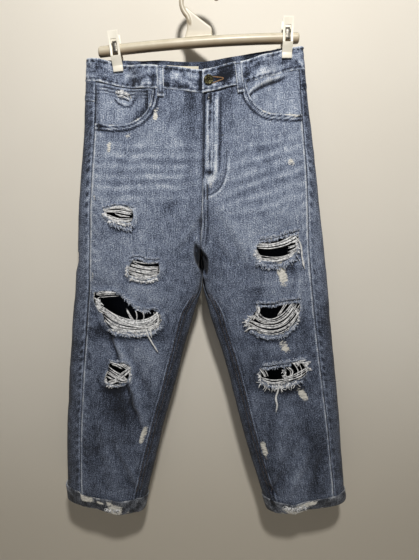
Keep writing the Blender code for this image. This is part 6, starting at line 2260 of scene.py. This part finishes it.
# %% Fly, coin pocket, waistband and loops
FLY_ROWS = (
    ((21, -190), (21, -260), (19, -336)), ((27.5, -190), (27.5, -260), (25.5, -336)),
    ((51, -284), (52, -306), (49, -335), (43, -352), (33, -364), (20, -371)),
    ((46, -300), (47, -312), (44, -332), (37, -346), (28, -356), (20, -362)),
)
rows = []
for line in FLY_ROWS:
    line = rounded(line, 3.0)
    rows += stitch_routes(fronts["left"], by_x("left", -1, line[:, 0], line[:, 1]))
for gap in (2.4, 8.2):
    z = np.arange(-345, FORK_Z + 4, -6.0)
    edge_x = np.interp(-z, (186, 332, 362, 427, 465, 548), (10, 8, 6, 6, 2.5, 6)) + gap
    rows += stitch_routes(fronts["left"], by_x("left", -1, edge_x, z))
sewn("stitches_fly", rows, DARK_STITCH, seed=804)

coin = bpy.data.objects["coin_pocket_cloth"]
rows = []
for drop in (3.0, 9.0, 13.5):
    line = np.array(COIN_TOP, float).T[1:] - (0, drop)
    line = rounded(line, 3.0)
    rows += stitch_routes(coin, by_x("right", -1, line[:, 0], line[:, 1], 0.5))
sewn("stitches_coin_pocket", rows, seed=805)

rows = []
for drop in (3.2, 36.6):
    for leg, face, first, last in (("right", -1, 0.03, 0.99), ("right", 1, 0.99, 0.01),
                                   ("left", 1, 0.01, 0.99),
                                   ("left", -1, 0.99, 0.03)):
        u = np.linspace(first, last, 60)
        out = np.full(60, 3.0)
        rows += stitch_routes(waistband, band_place(leg, face, u, np.full(60, drop), out))
sewn("stitches_waistband", rows, seed=806)

rows, tacks = [], []
for name, leg, face, top_x, foot_x in LOOPS:
    loop = bpy.data.objects["belt_loop_" + name + "_cloth"]
    for beside in (-3.4, 3.4):
        drop = np.linspace(3, 48, 16)
        x = loop_x(top_x, foot_x, drop) + beside
        rows += stitch_routes(loop, band_place(leg, face, across_to(leg, face, x), drop, np.full(16, 6.0)))
    for drop in (4.0, 47.5):
        x = top_x + (foot_x - top_x) * drop / 54 + np.linspace(-5.4, 5.4, 12)
        place = band_place(leg, face, across_to(leg, face, x), np.full(12, drop), np.full(12, 6.0))
        tacks += stitch_routes(loop, place, pitch=0.62, length=0.5, across=2.4)
sewn("stitches_belt_loops", rows, seed=807)

# %% Bar tacks
TACKS = (
    # piece, leg, face, from, to
    ("front_panel_left_cloth", "left", -1, (16, -351), (16, -380)),
    ("front_panel_left_cloth", "left", -1, (38, -262), (46, -262)),
    ("front_panel_left_cloth", "left", -1, (188, -212), (190, -228)),
    ("front_panel_left_cloth", "left", -1, (88, -176), (98, -176)),
    ("front_panel_right_cloth", "right", -1, (-186, -238), (-187, -254)),
    ("front_panel_right_cloth", "right", -1, (-92, -190), (-83, -190)),
    ("back_pocket_right_cloth", "right", 1, (-181, -260), (-180, -272)),
    ("back_pocket_right_cloth", "right", 1, (-39, -260), (-40, -272)),
    ("back_pocket_left_cloth", "left", 1, (47, -260), (48, -272)),
    ("back_pocket_left_cloth", "left", 1, (189, -260), (188, -272)),
)
for piece, leg, face, start, end in TACKS:
    line = np.array([np.linspace(start[k], end[k], 8) for k in (0, 1)]).T
    tacks += stitch_routes(bpy.data.objects[piece], by_x(leg, face, line[:, 0], line[:, 1], 3.0), pitch=0.62,
                           length=0.5, across=2.6)
sewn("bar_tacks", tacks, DARK_STITCH, 0.7, seed=808)

# %% [markdown]
# ## Buttonhole
# The waistband's keyhole buttonhole runs sideways from the button. Its edge is bound with close satin
# stitches that have yellowed.

# %% Buttonhole
hole_z = button_middle[2]
rows = []
for side_of in (-1, 1):
    line = np.array([(x, hole_z + side_of * (1.2 + 5.2 * (44 - x) / 20) + (x - 24) * 0.12)
                     for x in np.linspace(24, 44, 24)])
    rows += stitch_routes(waistband, by_x("left", -1, line[:, 0], line[:, 1], 6.0), pitch=0.62, length=0.5,
                          across=2.0)
line = np.array([(44 + 1.2 * math.sin(a), hole_z + 2.4 + 1.2 * math.cos(a)) for a in np.linspace(0, math.pi,
                                                                                                 8)])
rows += stitch_routes(waistband, by_x("left", -1, line[:, 0], line[:, 1], 6.0), pitch=0.6, length=0.5,
                      across=2.0)
BUTTONHOLE_THREAD = fibre_material("yellowed_buttonhole_thread", 3.0,
                                   (0.3, "#3E3A22"), (0.5, "#8A6A42"), (0.72, "#C08A5A"))
sewn("buttonhole", rows, BUTTONHOLE_THREAD, 0.8, seed=809)
